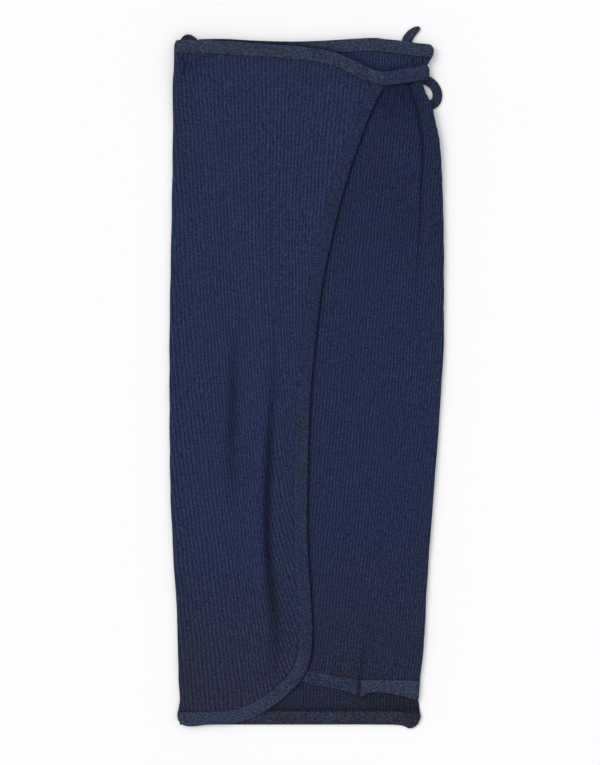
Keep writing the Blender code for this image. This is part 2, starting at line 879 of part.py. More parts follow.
def main():
    for thing in list(bpy.data.objects):
        bpy.data.objects.remove(thing)
    rib = paint("rib_knit", 0.020, 0.028, 0.066, 0.9)
    binding = paint("binding", 0.032, 0.040, 0.072, 0.92)
    make_back_panel(rib)
    make_back_waistband(binding)
    make_back_hem_band(binding)
    under_corner = Place(UNDER_BAND_START + BAND_WIDTH, under_seam(-110) - GAP)
    under_pairs = edge_stations(UNDER_FRONT, UNDER_HEM, 1, under_corner)
    make_front_panel("under_panel", 1, under_pairs[: len(UNDER_FRONT)], under_seam, UNDER_HEM, rib)
    waistband("under_waistband", 1, under_line, UNDER_BAND_START, binding)
    make_edge_band("under_edge_band", 1, under_pairs, binding)
    over_corner = Place(75, over_seam(75) - GAP)
    over_pairs = edge_stations(OVER_FRONT, OVER_HEM, -1, over_corner)
    make_front_panel("over_panel", -1, over_pairs[: len(OVER_FRONT)], over_seam, OVER_HEM, rib)
    waistband("over_waistband", -1, over_line, CORNER_X, binding)
    make_edge_band("over_edge_band", -1, over_pairs, binding)
    make_waist_tie(binding)
    make_tie_turn(binding)
    make_knot(binding)
    make_strips(binding)


main()
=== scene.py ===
"""Looks of the rib-knit wrap skirt: fine cloth on its solids' forms, finishes, light and camera.

The tables repeat the part's own, in millimetres.  Panels are grids whose columns follow the ribs,
so that each rib is real relief.  Bindings and ties are soft double-folded strips.
"""

import math
from collections import namedtuple

import bpy
import numpy as np
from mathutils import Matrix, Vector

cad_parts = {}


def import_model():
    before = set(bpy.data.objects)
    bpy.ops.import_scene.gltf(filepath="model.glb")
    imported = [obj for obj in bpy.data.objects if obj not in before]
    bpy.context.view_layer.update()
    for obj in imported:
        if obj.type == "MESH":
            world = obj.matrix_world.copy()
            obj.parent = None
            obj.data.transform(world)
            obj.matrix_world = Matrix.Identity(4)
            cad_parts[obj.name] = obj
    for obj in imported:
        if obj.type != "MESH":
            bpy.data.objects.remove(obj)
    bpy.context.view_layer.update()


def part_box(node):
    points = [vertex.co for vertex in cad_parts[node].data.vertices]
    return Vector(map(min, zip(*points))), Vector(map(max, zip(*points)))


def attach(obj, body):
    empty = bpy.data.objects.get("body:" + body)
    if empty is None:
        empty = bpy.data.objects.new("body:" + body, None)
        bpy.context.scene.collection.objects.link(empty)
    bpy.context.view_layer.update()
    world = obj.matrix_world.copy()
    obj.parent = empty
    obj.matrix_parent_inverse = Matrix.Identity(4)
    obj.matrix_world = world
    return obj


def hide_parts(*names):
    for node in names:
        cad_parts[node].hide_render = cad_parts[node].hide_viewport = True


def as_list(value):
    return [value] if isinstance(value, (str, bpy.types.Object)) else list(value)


MM = 0.001

# Cloth
PANEL = 1.5
BAND = 2.4
GAP = 0.3
EASE = 0.2
SIDE_EASE = 1.1
SIDE_EASE_RAMP = (262, 285)
BAND_WIDTH = 16.0
FOLD_RADIUS = 2.55
WAIST_FOLD_EXTRA = 1.35
FOLD_SETTLE = 14.0
TUCK = 1.3  # a panel's edge runs this far into its binding

# How the layers climb over what lies below them
TIE_LIFT = BAND + GAP
WAIST_RAMP = (285, 366)
HEM_RAMP = (-384, -362)
KNOT_RAMP_X = (-30, 62)
KNOT_RAMP_Y = (195, 300)
STEP_FOOT = 22.0
STEP_TOP = 8.0
BAND_SETTLE = (17, 34)

# How fine the meshes are
OVER_RIB = 4.8  # from one rib to the next at the top of the over front, where they are widest
UNDER_RIB = 3.6
BACK_RIB = 4.2
RIB_STEPS = 5  # columns to a rib
RIB_DEPTH = 0.5
ROW = 5.5
BACK_ROW = 9.0
BAND_STEP = 1.6
ACROSS_STEPS = 12
TURN_STEPS = 14
TIE_ROWS = 20
TIE_TURN_COLUMNS = 16
LEVEL_ROUNDS = 40  # rounds in which a row's level settles
SMOOTH_ANGLE = 75  # degrees; edges sharper than this stay sharp

# Finishes
LOOP_ROW = 2.9  # one row of knitted loops
DEEP_THREAD = (0.50, 0.55, 0.62)  # the two threads of the heather, as shares of the mean colour
PALE_THREAD = (2.25, 2.08, 1.80)
THREAD_BALANCE = 0.28  # share of the pale thread
COOL_BLOTCH = (0.88, 1.06, 1.05)
WARM_BLOTCH = (1.05, 0.965, 0.98)
STITCH_COLOUR = (0.060, 0.075, 0.125)
STITCH_LINE = 2.2  # from the seam
STITCH_PITCH = 3.1
GROOVE_LINE = 0.4
# How far the painted shade of creases, hollows and contacts darkens the colour at its strongest
PAINTED_SHADE_STRENGTH = 0.6

Place = namedtuple("Place", "x y")
Fold = namedtuple("Fold", "y x")
Hem = namedtuple("Hem", "x low high")
Roll = namedtuple("Roll", "y width share")
Ridge = namedtuple("Ridge", "y x height")
Turn = namedtuple("Turn", "x crest")
Along = namedtuple("Along", "at x y")
Trough = namedtuple("Trough", "y x depth width")
Tip = namedtuple("Tip", "x y half")
Pucker = namedtuple("Pucker", "x y to_x to_y width depth")
Ripple = namedtuple("Ripple", "x y reach_x reach_y length lean height")
Lean = namedtuple("Lean", "y side quarter middle line")
Flare = namedtuple("Flare", "y line edge")


def rows_of(kind, *rows):
    return [kind(*row) for row in rows]


# Outlines

LEFT_FOLD = rows_of(
    Fold,
    (392, -151.0), (388, -153.0), (382, -153.8), (366, -154.2), (340, -155.8), (280, -155.8),
    (171, -157.6), (67, -159.5), (0, -159.7), (-73, -159.5), (-142, -158.4), (-212, -155.0),
    (-282, -150.8), (-350, -149.2), (-376, -147.7), (-391, -150.2), (-399, -148.8), (-404, -143.5),
)

RIGHT_FOLD = rows_of(
    Fold,
    (388, 143.0), (381, 147.4), (371, 145.4), (363, 140.8), (352, 137.6), (341, 135.6),
    (333, 137.5), (324, 142.0), (314, 146.2), (299, 149.2), (276, 154.2), (241, 157.0),
    (171, 159.4), (100, 159.6), (32, 159.2), (-38, 154.9), (-107, 150.0), (-177, 144.5),
    (-247, 139.6), (-316, 136.0), (-354, 131.6), (-376, 130.3), (-388, 131.4), (-394, 132.6),
    (-402, 130.0),
)

WAIST_TOP = rows_of(
    Place,
    (-150, 391.0), (-125, 392.4), (-95, 392.8), (-60, 390.9), (-20, 389.8), (15, 390.6),
    (50, 392.7), (80, 394.0), (90, 392.7), (108, 391.0), (129, 388.0), (146, 386.2),
)

OVER_WAIST = rows_of(
    Place,
    (-156, 383.3), (-110, 382.4), (-60, 379.2), (-10, 375.6), (27, 370.0), (50, 360.6), (73, 350.0),
    (88, 346.4), (110, 348.8), (132, 352.4), (144, 354.8),
)
OVER_WAIST_HALF = 8.1
TIE_HALF = 8.6
CORNER_X = 89.0
TIE_WIDEN = 25.0
TIE_SIDE = 142.6
TIE_CORNER = 3.2
TIE_KNOT_X = 120.3  # where the tie ends behind the waist, in the knot

OVER_EDGE = rows_of(
    Place,
    (90, 337.0), (83, 325.0), (71, 299.0), (54, 252.0), (40, 206.0), (29, 160.0), (19, 113.0),
    (10, 43.0), (4, -28.0), (1, -120.0), (1, -190.0), (5, -258.0), (6.5, -300.0), (4, -328.0),
    (-6, -350.0), (-23, -368.7), (-44, -385.0), (-66, -396.6), (-90, -402.2), (-118, -403.6),
)
OVER_HEM = rows_of(
    Hem,
    (-118, -403.6, -387.6), (-129, -405.0, -387.6), (-138, -405.2, -387.6), (-145, -403.4, -387.6),
)

UNDER_EDGE = rows_of(
    Place,
    (-122, 375.0), (-119.4, 366.0), (-116.6, 356.0), (-113.8, 346.0), (-110.8, 336.0),
    (-107, 322.0), (-103, 306.0), (-98, 288.0), (-92.8, 270.0), (-86.6, 248.0), (-79.6, 222.0),
    (-65, 150.0), (-54, 80.0), (-46, 20.0), (-41, -60.0), (-40, -150.0), (-40, -225.0),
    (-38, -280.0), (-31, -320.0), (-20, -342.0), (-7, -353.0), (10, -357.6), (27, -361.0),
)
UNDER_HEM = rows_of(
    Hem,
    (27, -361.0, -344.4), (44, -364.6, -347.8), (57, -369.6, -350.2), (61, -371.6, -350.6),
    (65, -370.0, -350.6), (75, -366.2, -350.6), (94, -367.0, -350.9), (111, -370.0, -351.3),
    (127, -374.8, -351.6),
)
PLEAT_X = 62.0
PLEAT_RISE = 1.4
PLEAT_STEEP = 2.0
PLEAT_FALL = 21.0
PLEAT_FOOT = -372.0
PLEAT_REACH = 75.0

BACK_HEM = rows_of(
    Place,
    (-146, -403.2), (-130, -403.6), (0, -403.6), (100, -403.8), (114, -405.2), (121, -408.2),
    (128.5, -406.0), (131.6, -402.5),
)
HEM_SEAM = -387.6

SIDE_ROLL = rows_of(
    Roll,
    (372, 14, 0.0), (355, 15, 0.3), (340, 16, 0.7), (322, 18, 1.0), (270, 20, 1.0), (211, 25, 0.8),
    (154, 29, 0.5), (60, 34, 0.0),
)
ROLL_GROWTH = 0.88
ROLL_SWELL = 0.4
ROLL_DROP = 4.0
TIE_LOOK = 6.0
UNDER_HEM_END = -377.0

LONG_RIDGE = rows_of(
    Ridge,
    (60, -28, 0.0), (-50, -33, 1.2), (-150, -35, 2.2), (-235, -32, 2.0), (-300, -28, 0.0),
)
RIDGE_WIDTH = 9.0

TIE_TURN = rows_of(
    Turn,
    (-146.6, 389.4), (-143.0, 392.8), (-139.4, 394.5), (-135.0, 394.2), (-130.5, 391.8),
    (-126.0, 388.2),
)
TURN_LEG = 376.5
TURN_BACK = 387.4
TURN_DIP = 388.0
TURN_DIP_RUN = 12.0
UNDER_BAND_START = -125.6
BACK_TOP_DROP = 1.2

UNDER_TIE = rows_of(
    Place,
    (-145.8, 379.0), (-60.0, 379.0), (20.0, 379.0), (50.0, 372.0), (75.0, 358.5), (90.0, 352.0),
    (101.5, 352.0),
)

# The bow's loop, and its end with half widths that taper
TIE_LOOP = rows_of(
    Place,
    (129.0, 346.8), (138.5, 345.8), (145.4, 341.8), (150.4, 335.0), (152.0, 327.2), (150.0, 320.6),
    (144.4, 316.4), (137.0, 315.4), (130.0, 317.4), (124.0, 319.6),
)
TIE_END = rows_of(
    Tip,
    (113.0, 362.0, 5.4), (113.4, 376.0, 5.6), (116.5, 391.6, 5.8), (120.4, 398.2, 5.4),
    (125.0, 402.6, 4.5), (128.8, 405.2, 3.3), (131.4, 406.8, 1.7),
)
LOOP_HALF = 5.6

# Heights that stand for the waistbands, the tie and the back's hem binding
WAIST_LEVEL = 380.0
TIE_LEVEL = 352.0
HEM_LEVEL = -396.0

# How far fades and rounded edges reach
GREY_RAMP = (150, 400)  # down the skirt, the cloth looks a little greyer
SEAM_SHADE_WIDTH = 2.2
RIB_FADE = 3.0
PANEL_TOP_FADE = 90.0
PANEL_HEM_FADE = 40.0
BACK_TOP_FADE = 290.0
HALF_TURN = 9.0  # length of a binding's half turn round a side fold
CROWN = 0.25  # a binding is this much thicker in the middle
EDGE_ROUND = 1.7
STRIP_ROUND = 2.0
TIE_TURN_ROUND = 2.4
KNOT_ROUND = 3.0

# Places across the skirt where an edge binding or a fold is measured
OVER_CORNER_X = 75.0
UNDER_CORNER_X = -110.0
LEFT_FOLD_X = -155.0
RIGHT_FOLD_X = 145.0

# What the fronts' edge bindings add to their length where they turn in at their ends
OVER_TURNS = 20.0
UNDER_TURNS = 16.0

# Where the ribs of each panel start at its top, from first to last
OVER_LEFT_START = (-245, 10)
OVER_RIGHT_START = (-200, 95)
UNDER_START = (-130, 260)
BACK_START = (-185, 185)

# Trough of the over front.  Ribs run into its left side and come out of its right side.
# Above and below the trough the line goes on between two ribs.
LONG_TROUGH = rows_of(
    Trough,
    (400, -38.6, 0.0, 5.0),
    (309, -40.0, 0.0, 5.0),
    (226, -41.0, 0.0, 5.0),
    (142, -40.4, 0.0, 5.0),
    (75, -38.0, 0.0, 5.0),
    (20, -38.0, 0.7, 5.2),
    (-49, -41.4, 1.9, 5.4),
    (-96, -43.4, 2.7, 5.4),
    (-142, -45.4, 3.1, 5.4),
    (-166, -45.8, 3.2, 5.4),
    (-200, -44.6, 3.0, 5.6),
    (-235, -41.8, 2.4, 6.0),
    (-262, -39.0, 1.8, 6.4),
    (-292, -36.6, 1.0, 7.0),
    (-318, -37.0, 0.4, 7.0),
    (-345, -40.0, 0.0, 7.0),
    (-400, -47.0, 0.0, 7.0),
)

# Soft troughs beside it and above the under hem's pleat
FAINT_TROUGH = rows_of(
    Trough,
    (70, -84, 0.0, 6.0),
    (20, -85.5, 1.0, 6.0),
    (-40, -87, 1.6, 6.0),
    (-100, -88, 1.1, 6.5),
    (-170, -88, 0.0, 7.0),
)
PLEAT_TROUGH = rows_of(
    Trough,
    (-240, 72, 0.0, 6.0),
    (-300, 69, 0.2, 5.0),
    (-330, 64.5, 0.5, 3.5),
    (-350, 61.8, 1.1, 2.5),
    (-360, 60.8, 1.7, 2.3),
    (-376, 60.2, 1.7, 2.2),
)

# Small gathers: under the waist at the left, and where the tie pulls at the right
OVER_RIPPLES = rows_of(
    Ripple,
    (-138, 363, 15, 13, 6.5, 0.6, 0.8),
    (-116, 368, 16, 8, 8.0, -0.3, 0.35),
    (60, 352, 16, 20, 9.0, 0.6, 0.3),
)
UNDER_RIPPLES = rows_of(
    Ripple,
    (114, 367, 15, 9, 6.2, -0.55, 0.45),
    (100, 332, 18, 16, 9.0, -0.25, 0.5),
    (138, 362, 6, 8, 5.0, 0.0, 0.3),
)

# Short creases pinched into the cloth
OVER_PUCKERS = rows_of(
    Pucker,
    (-151, 372, -136, 366, 1.5, 0.6),
    (-143, 363.5, -128, 358.5, 1.4, 0.8),
    (-153, 361, -141, 353, 1.8, 0.5),
    (-132, 371, -121, 367, 1.3, 0.5),
    (66, 352, 76, 338, 1.6, 0.5),
)
UNDER_PUCKERS = rows_of(
    Pucker,
    (129, 371.5, 114, 362, 1.5, 1.3),
    (138, 366.5, 124, 362.5, 1.4, 1.0),
    (120, 373, 109, 368, 1.3, 0.7),
    (136, 373, 130, 367, 1.2, 0.7),
    (108, 340, 113, 322, 1.6, 0.5),
)

# Lean of the ribs: how far a rib goes to +X for each millimetre that it goes down
LEFT_LEAN = rows_of(
    Lean,
    (400, 0.075, 0.05, 0.02, -0.005),
    (309, 0.075, 0.05, 0.02, -0.005),
    (226, 0.07, 0.05, 0.02, 0.0),
    (142, 0.06, 0.05, 0.035, 0.02),
    (58, 0.08, 0.07, 0.055, 0.04),
    (-25, 0.105, 0.10, 0.095, 0.09),
    (-109, 0.125, 0.125, 0.125, 0.13),
    (-192, 0.125, 0.13, 0.14, 0.155),
    (-276, 0.10, 0.11, 0.13, 0.16),
    (-318, 0.09, 0.10, 0.125, 0.16),
    (-400, 0.08, 0.095, 0.12, 0.16),
)
LEFT_LEAN_AT = (-133.0, -103.0, -73.0, -43.0)
RIGHT_LEAN = rows_of(
    Flare,
    (400, -0.005, -0.09), (309, -0.01, -0.09), (226, -0.01, -0.07), (142, 0.02, -0.02),
    (58, 0.04, 0.03), (-25, 0.09, 0.09), (-109, 0.18, 0.19), (-150, 0.25, 0.27), (-192, 0.30, 0.33),
    (-234, 0.33, 0.37), (-276, 0.35, 0.39), (-318, 0.37, 0.41), (-400, 0.38, 0.42),
)
RIGHT_LEAN_AT = (-43.0, 20.0)
UNDER_LEAN = rows_of(
    Flare,
    (400, -0.14, -0.06), (309, -0.13, -0.08), (226, -0.12, -0.10), (142, -0.10, -0.09),
    (58, -0.08, -0.07), (-25, -0.08, -0.10), (-109, -0.09, -0.11), (-192, -0.11, -0.13),
    (-276, -0.11, -0.12), (-400, -0.12, -0.12),
)
UNDER_LEAN_AT = (18.0, 120.0)
BACK_LEAN = rows_of(
    Flare,
    (400, 0.0, 0.0), (0, 0.0, 0.0), (-250, 0.03, -0.05), (-400, 0.04, -0.06),
)
BACK_LEAN_AT = (-120.0, 120.0)

# Camera and floor
VIEW_CENTRE = (-7.8, -5.9)
VIEW_HEIGHT = 888.2  # of the cloth plane, in millimetres
CLOTH_PLANE = 5.0
LENS = 100.0
SENSOR = 36.0
FLOOR_REACH = 14.0  # in metres, as the level
FLOOR_LEVEL = -0.0003


def smoothstep(value, start, end):
    """0 up to start, 1 from end on, and a soft climb between them."""
    share = np.clip((value - start) / (end - start), 0.0, 1.0)
    return share * share * (3 - 2 * share)


def fade(value, start, end):
    """1 up to start, 0 from end on, and a soft fall between them."""
    return 1 - smoothstep(value, start, end)


def window(value, rise_from, rise_to, fall_from, fall_to):
    """1 in a window with soft sides, and 0 outside it."""
    return smoothstep(value, rise_from, rise_to) * fade(value, fall_from, fall_to)


def either(first, second):
    """Soft union of two shares."""
    return first + second - first * second


def hump(value, centre, width):
    """1 at the centre, with a soft fall to 0 on both sides of it."""
    return np.exp(-(((value - centre) / width) ** 2))


def column_of(table, name):
    return np.array([getattr(row, name) for row in table], float)


def read(table, key, column, value):
    """Smooth values of a table's column where another column has the given values."""
    rows = sorted(table, key=lambda row: getattr(row, key))
    keys = column_of(rows, key)
    values = column_of(rows, column)
    slope = np.empty_like(values)
    slope[1:-1] = (values[2:] - values[:-2]) / (keys[2:] - keys[:-2])
    slope[0] = (values[1] - values[0]) / (keys[1] - keys[0])
    slope[-1] = (values[-1] - values[-2]) / (keys[-1] - keys[-2])
    value = np.clip(value, keys[0], keys[-1])
    index = np.clip(np.searchsorted(keys, value) - 1, 0, len(keys) - 2)
    span = keys[index + 1] - keys[index]
    t = (value - keys[index]) / span
    rise = (2 * t**3 - 3 * t**2 + 1) * values[index] + (3 * t**2 - 2 * t**3) * values[index + 1]
    bend = (t**3 - 2 * t**2 + t) * slope[index] + (t**3 - t**2) * slope[index + 1]
    return rise + span * bend


def x_at(table, y):
    return read(table, "y", "x", y)


def y_at(table, x):
    return read(table, "x", "y", x)


def smooth_route(points, spacing):
    """Points about one spacing apart on a smooth curve through the given points, as an array."""
    corners = np.array([(point.x, point.y) for point in points], float)
    steps = np.hypot(*np.diff(corners, axis=0).T)
    distance = np.concatenate([[0.0], np.cumsum(steps)])
    table = [Along(at, x, y) for at, (x, y) in zip(distance, corners)]
    at = np.linspace(0, distance[-1], max(2, round(distance[-1] / spacing) + 1))
    return np.stack([read(table, "at", "x", at), read(table, "at", "y", at)], axis=-1)


def normals(route):
    """Unit vectors square to a route, to the left of its direction."""
    along = np.gradient(route, axis=0)
    along /= np.linalg.norm(along, axis=1, keepdims=True)
    return np.stack([-along[:, 1], along[:, 0]], axis=-1)


def lengths(route):
    """Distance along a route at each of its points."""
    return np.concatenate([[0.0], np.cumsum(np.linalg.norm(np.diff(route, axis=0), axis=1))])


UNDER_ROUTE = smooth_route(UNDER_EDGE, 12.0)
UNDER_OUTLINE = np.vstack([UNDER_ROUTE, [(row.x, row.low) for row in UNDER_HEM[1:]]])


def depth_inside_under(x, y):
    """Distance from the under front's outer edge, positive on the under front."""
    x, y = np.broadcast_arrays(np.asarray(x, float), np.asarray(y, float))
    nearest = np.full(x.shape, np.inf)
    sign = np.ones(x.shape)
    for start, end in zip(UNDER_OUTLINE, UNDER_OUTLINE[1:]):
        along = end - start
        to_x, to_y = x - start[0], y - start[1]
        share = np.clip((to_x * along[0] + to_y * along[1]) / (along @ along), 0.0, 1.0)
        gap = np.hypot(to_x - share * along[0], to_y - share * along[1])
        closer = gap < nearest - 1e-9
        nearest = np.where(closer, gap, nearest)
        inside = along[0] * to_y - along[1] * to_x > 0
        sign = np.where(closer, np.where(inside, 1.0, -1.0), sign)
    return sign * nearest


def waist_share(y):
    return smoothstep(y, *WAIST_RAMP)


def lift(x, y):
    """Height of the back panel above the surface, where the ties lie under it."""
    knot = smoothstep(x, *KNOT_RAMP_X) * smoothstep(y, *KNOT_RAMP_Y)
    return TIE_LIFT * either(waist_share(y), knot)


def back_top(x, y):
    band = either(waist_share(y), fade(y, *HEM_RAMP))
    return lift(x, y) + PANEL + (BAND - PANEL) * band


def pleat(x, y):
    """Step of the under front's lower pleat, steep on its left and long on its right."""
    rise = smoothstep(x, PLEAT_X - PLEAT_STEEP, PLEAT_X)
    fall = smoothstep(x, PLEAT_X, PLEAT_X + PLEAT_FALL)
    reach = smoothstep(y, PLEAT_FOOT, PLEAT_FOOT + PLEAT_REACH)
    return PLEAT_RISE * rise * (1 - fall) * (1 - reach)


def under_bottom(x, y):
    return back_top(x, y) + GAP + pleat(x, y)


def over_bottom(x, y):
    """Lowest height of the over front, on the back panel or on the under front."""
    depth = depth_inside_under(x, y)
    on_under = either(smoothstep(depth, -STEP_FOOT, -STEP_TOP), waist_share(y))
    thick = either(fade(depth, *BAND_SETTLE), waist_share(y))
    under = EASE + GAP + PANEL + (BAND - PANEL) * thick
    ridge = read(LONG_RIDGE, "y", "height", y) * hump(x, x_at(LONG_RIDGE, y), RIDGE_WIDTH)
    return back_top(x, y) + GAP + on_under * under + ridge


def fold_x(side, y):
    return x_at(LEFT_FOLD if side < 0 else RIGHT_FOLD, y)


def roll_share(side, y):
    return read(SIDE_ROLL, "y", "share", y) if side > 0 else np.zeros(np.shape(y))


def fold_radius(side, y):
    if side < 0:
        return FOLD_RADIUS + WAIST_FOLD_EXTRA * waist_share(y)
    return FOLD_RADIUS + ROLL_GROWTH * roll_share(side, y)


def fold_centre(side, y):
    return fold_x(side, y) - side * fold_radius(side, y)


def trough(table, x, y):
    """Share of a trough's depth, and its depth, at a place."""
    depth = np.maximum(read(table, "y", "depth", y), 0.0)
    return hump(x, x_at(table, y), read(table, "y", "width", y)), depth


def ripples(table, x, y):
    """Height of small gathers that fade outwards from their centres."""
    height = 0.0
    for ripple in table:
        east, north = x - ripple.x, y - ripple.y
        fade = hump(east, 0, ripple.reach_x) * hump(north, 0, ripple.reach_y)
        phase = 2 * math.pi * (east + ripple.lean * north) / ripple.length
        height = height + ripple.height * fade * np.cos(phase)
    return height


def puckers(table, x, y):
    """How far short creases pinch the cloth in, soft towards their ends."""
    depth = 0.0
    for pucker in table:
        along_x, along_y = pucker.to_x - pucker.x, pucker.to_y - pucker.y
        length = math.hypot(along_x, along_y)
        share = ((x - pucker.x) * along_x + (y - pucker.y) * along_y) / length**2
        off = ((x - pucker.x) * along_y - (y - pucker.y) * along_x) / length
        pinch = window(share, -0.15, 0.25, 0.75, 1.15) * hump(off, 0, pucker.width)
        depth = np.maximum(depth, pucker.depth * pinch)
    return depth


def undulation(x, y):
    """Gentle unevenness of cloth laid by hand."""
    swell = np.sin(x / 31.0 + y / 85.0 + 0.6) * np.sin(y / 57.0 - x / 95.0)
    return 0.22 * swell + 0.12 * np.sin(x / 17.0 - y / 41.0) * np.sin(y / 33.0 + 1.1)


def painted_edge_shadow(x, y):
    """Painted contact shadow on the under front where the over front's edge rests on it."""
    return 0.85 * hump(x, x_at(OVER_EDGE, y) + 0.8, 2.1) * window(y, -356, -336, 326, 336)


def painted_tie_shadow(x, y):
    """Painted shade on the under front where the tie draws it up."""
    return 0.42 * window(x, 72, 92, 118, 150) * window(y, 262, 330, 345, 358)


def painted_waist_shadow(x, y):
    """Painted contact shadow on the under front close above the over waistband and tie, and painted
    shade at its left.
    """
    gap = y - band_line(x, OVER_WAIST_HALF)
    reach = 3.5 + 2.5 * smoothstep(x, 40, 75)
    contact = (1 - 0.6 * smoothstep(x, 100, 118)) * hump(gap, 0, reach)
    covered = 0.32 * fade(x, -30, 50)
    return (contact + covered) * smoothstep(gap, -4, -1)


def under_shade(y):
    """Painted shade over the under front, a little everywhere, most of all below the tie."""
    return (0.17 + 0.12 * smoothstep(y, 60, 200)) * fade(y, 345, 360)


def foot_of_trough(x, y):
    """Wide soft painted shade in which the long trough runs out."""
    return 0.26 * hump(x, x_at(LONG_TROUGH, y) + 2, 12) * window(-y, 215, 270, 315, 365)


def creases(side, x, y):
    """Height that the creases add to a front, and the painted shade of its creases, gathers and
    contacts.
    """
    if side > 0:
        share, depth = trough(PLEAT_TROUGH, x, y)
        crease = read(SIDE_ROLL, "y", "width", y)
        inside = fold_x(1, y) - x
        line = hump(inside, crease + 0.5, 1.7) * roll_share(side, y)
        gathers = ripples(UNDER_RIPPLES, x, y) - puckers(UNDER_PUCKERS, x, y)
        # painted shade in the pleat's trough, along the side crease and in the gathers, then
        # painted shadows of the edge, tie and waistband
        shade = np.maximum(share * depth / 1.3, 1.3 * line) + 0.9 * np.maximum(-gathers, 0.0)
        shade = shade + painted_edge_shadow(x, y) + painted_tie_shadow(x, y)
        shade = np.maximum(shade, painted_waist_shadow(x, y))
        return gathers - share * depth - 0.5 * line, np.minimum(shade, 1.0)
    share, depth = trough(LONG_TROUGH, x, y)
    faint, faint_depth = trough(FAINT_TROUGH, x, y)
    beside = 0.35 * depth * hump(x, x_at(LONG_TROUGH, y) - 15, 9)
    gathers = ripples(OVER_RIPPLES, x, y) - puckers(OVER_PUCKERS, x, y)
    height = beside - share * depth - faint * faint_depth + gathers
    # painted shade in the troughs and gathers, and at the long trough's foot
    shade = share * depth / 2.7 + 0.45 * faint * faint_depth + np.maximum(-gathers, 0.0)
    shade = shade + foot_of_trough(x, y)
    return height, np.minimum(shade, 1.0)


def middle_height(side, x, y, thickness, near_band):
    """Height of the middle of a front's cloth, which sinks from its side fold to where it lies."""
    bottom = under_bottom(x, y) if side > 0 else over_bottom(x, y)
    lying = bottom + thickness / 2 + (BAND - thickness) / 2 * near_band
    radius = fold_radius(side, y)
    centre = fold_centre(side, y)
    crest = lift(centre, y) + 2 * radius - thickness / 2
    share = roll_share(side, y)
    inside = side * (centre - x)
    crease = read(SIDE_ROLL, "y", "width", y) - radius
    start = share * (crease - ROLL_DROP)
    end = FOLD_SETTLE + share * (crease - FOLD_SETTLE)
    across = np.clip(inside / crease, 0.0, 1.0)
    swell = share * ROLL_SWELL * np.sin(math.pi * across)
    fall = smoothstep(inside, start, end)
    added, shade = creases(side, x, y)
    free = smoothstep(inside, 0, 6)
    height = (crest + swell) * (1 - fall) + lying * fall + free * (added + undulation(x, y))
    return np.maximum(height, back_top(x, y) + GAP / 2 + thickness / 2), shade * free


def back_edge(side, y):
    """Side edge of the back panel, which meets the front's fold except below the under hem."""
    inner = fold_centre(side, y) - side * (GAP + SIDE_EASE * smoothstep(y, *SIDE_EASE_RAMP))
    if side > 0:
        share = fade(y, UNDER_HEM_END, UNDER_HEM_END + 3)
        return inner + share * (fold_x(side, y) - inner)
    return inner


def waist_top(x):
    return y_at(WAIST_TOP, x)


def back_waist_top(x):
    """Upper edge of the back waistband, lower at the left, where the under tie turns over it."""
    dip = fade(x, UNDER_BAND_START, UNDER_BAND_START + TURN_DIP_RUN)
    top = waist_top(x) - BACK_TOP_DROP
    return top - dip * (top - TURN_DIP)


def back_seam(x):
    return waist_top(x) - BACK_TOP_DROP - BAND_WIDTH


def under_seam(x):
    return waist_top(x) - BAND_WIDTH


def band_line(x, offset):
    """Line beside the over waist's middle line, at a distance measured square to it."""
    slope = (y_at(OVER_WAIST, x + 1) - y_at(OVER_WAIST, x - 1)) / 2
    return y_at(OVER_WAIST, x) + offset * np.hypot(1, slope)


def over_seam(x):
    return band_line(x, -OVER_WAIST_HALF)


def hem_edge(x):
    return y_at(BACK_HEM, x)


def hem_seam(x):
    return np.full(np.shape(x), HEM_SEAM)


def under_surface(x, y):
    """Top of the under front, panel or binding."""
    near = either(waist_share(y), fade(depth_inside_under(x, y), *BAND_SETTLE))
    thickness = PANEL + (BAND - PANEL) * near
    return middle_height(1, x, y, thickness, 0.0)[0] + thickness / 2


def tie_height(x, y):
    """Middle of the tie where it lies on the under front, clear of the rise just beside it."""
    nearby = [under_surface(x + step, y) for step in (-TIE_LOOK, 0, TIE_LOOK)]
    return np.maximum.reduce(nearby) + GAP + BAND / 2


# Meshes


class Sheet:
    """A grid of cloth: middles, directions out of the front, and half thicknesses of both skins."""

    def __init__(self, middle, out, front, back):
        self.middle = middle
        self.out = out
        self.front = front
        self.back = back
        self.marks = {}

    def mark(self, **values):
        """Adds numbers at each grid point that the materials read."""
        for name, value in values.items():
            self.marks[name] = np.broadcast_to(value, self.front.shape)
        return self


def upward(middle):
    """Directions straight up, one for each place."""
    out = np.zeros_like(middle)
    out[..., 2] = 1.0
    return out


def welded(middle):
    """Index of each grid point, the same for neighbours in a row that share a place."""
    rows, columns = middle.shape[:2]
    index = np.arange(rows * columns).reshape(rows, columns)
    same = np.linalg.norm(np.diff(middle, axis=1), axis=-1) < 1e-4
    keep = np.ones((rows, columns), bool)
    keep[:, 1:] = ~same
    index = np.where(keep, index, -1)
    return np.maximum.accumulate(index, axis=1)


def faces_of(index, flip):
    """Quads and triangles of one skin, without those that the weld has closed up."""
    corners = np.stack([index[:-1, :-1], index[:-1, 1:], index[1:, 1:], index[1:, :-1]], axis=-1)
    found = []
    for quad in corners.reshape(-1, 4).tolist():
        face = [corner for place, corner in enumerate(quad) if corner != quad[place - 1]]
        if len(set(face)) > 2:
            found.append(face[::-1] if flip else face)
    return found


def turned_over(sheet):
    """Whether the grid's rows and columns run the wrong way round for its front."""
    here = sheet.middle[:-1, :-1]
    down = sheet.middle[1:, :-1] - here
    across = sheet.middle[:-1, 1:] - here
    return np.sum(np.cross(across, down) * sheet.out[:-1, :-1]) < 0


def new_object(name, data):
    thing = bpy.data.objects.new(name, data)
    bpy.context.scene.collection.objects.link(thing)
    return thing


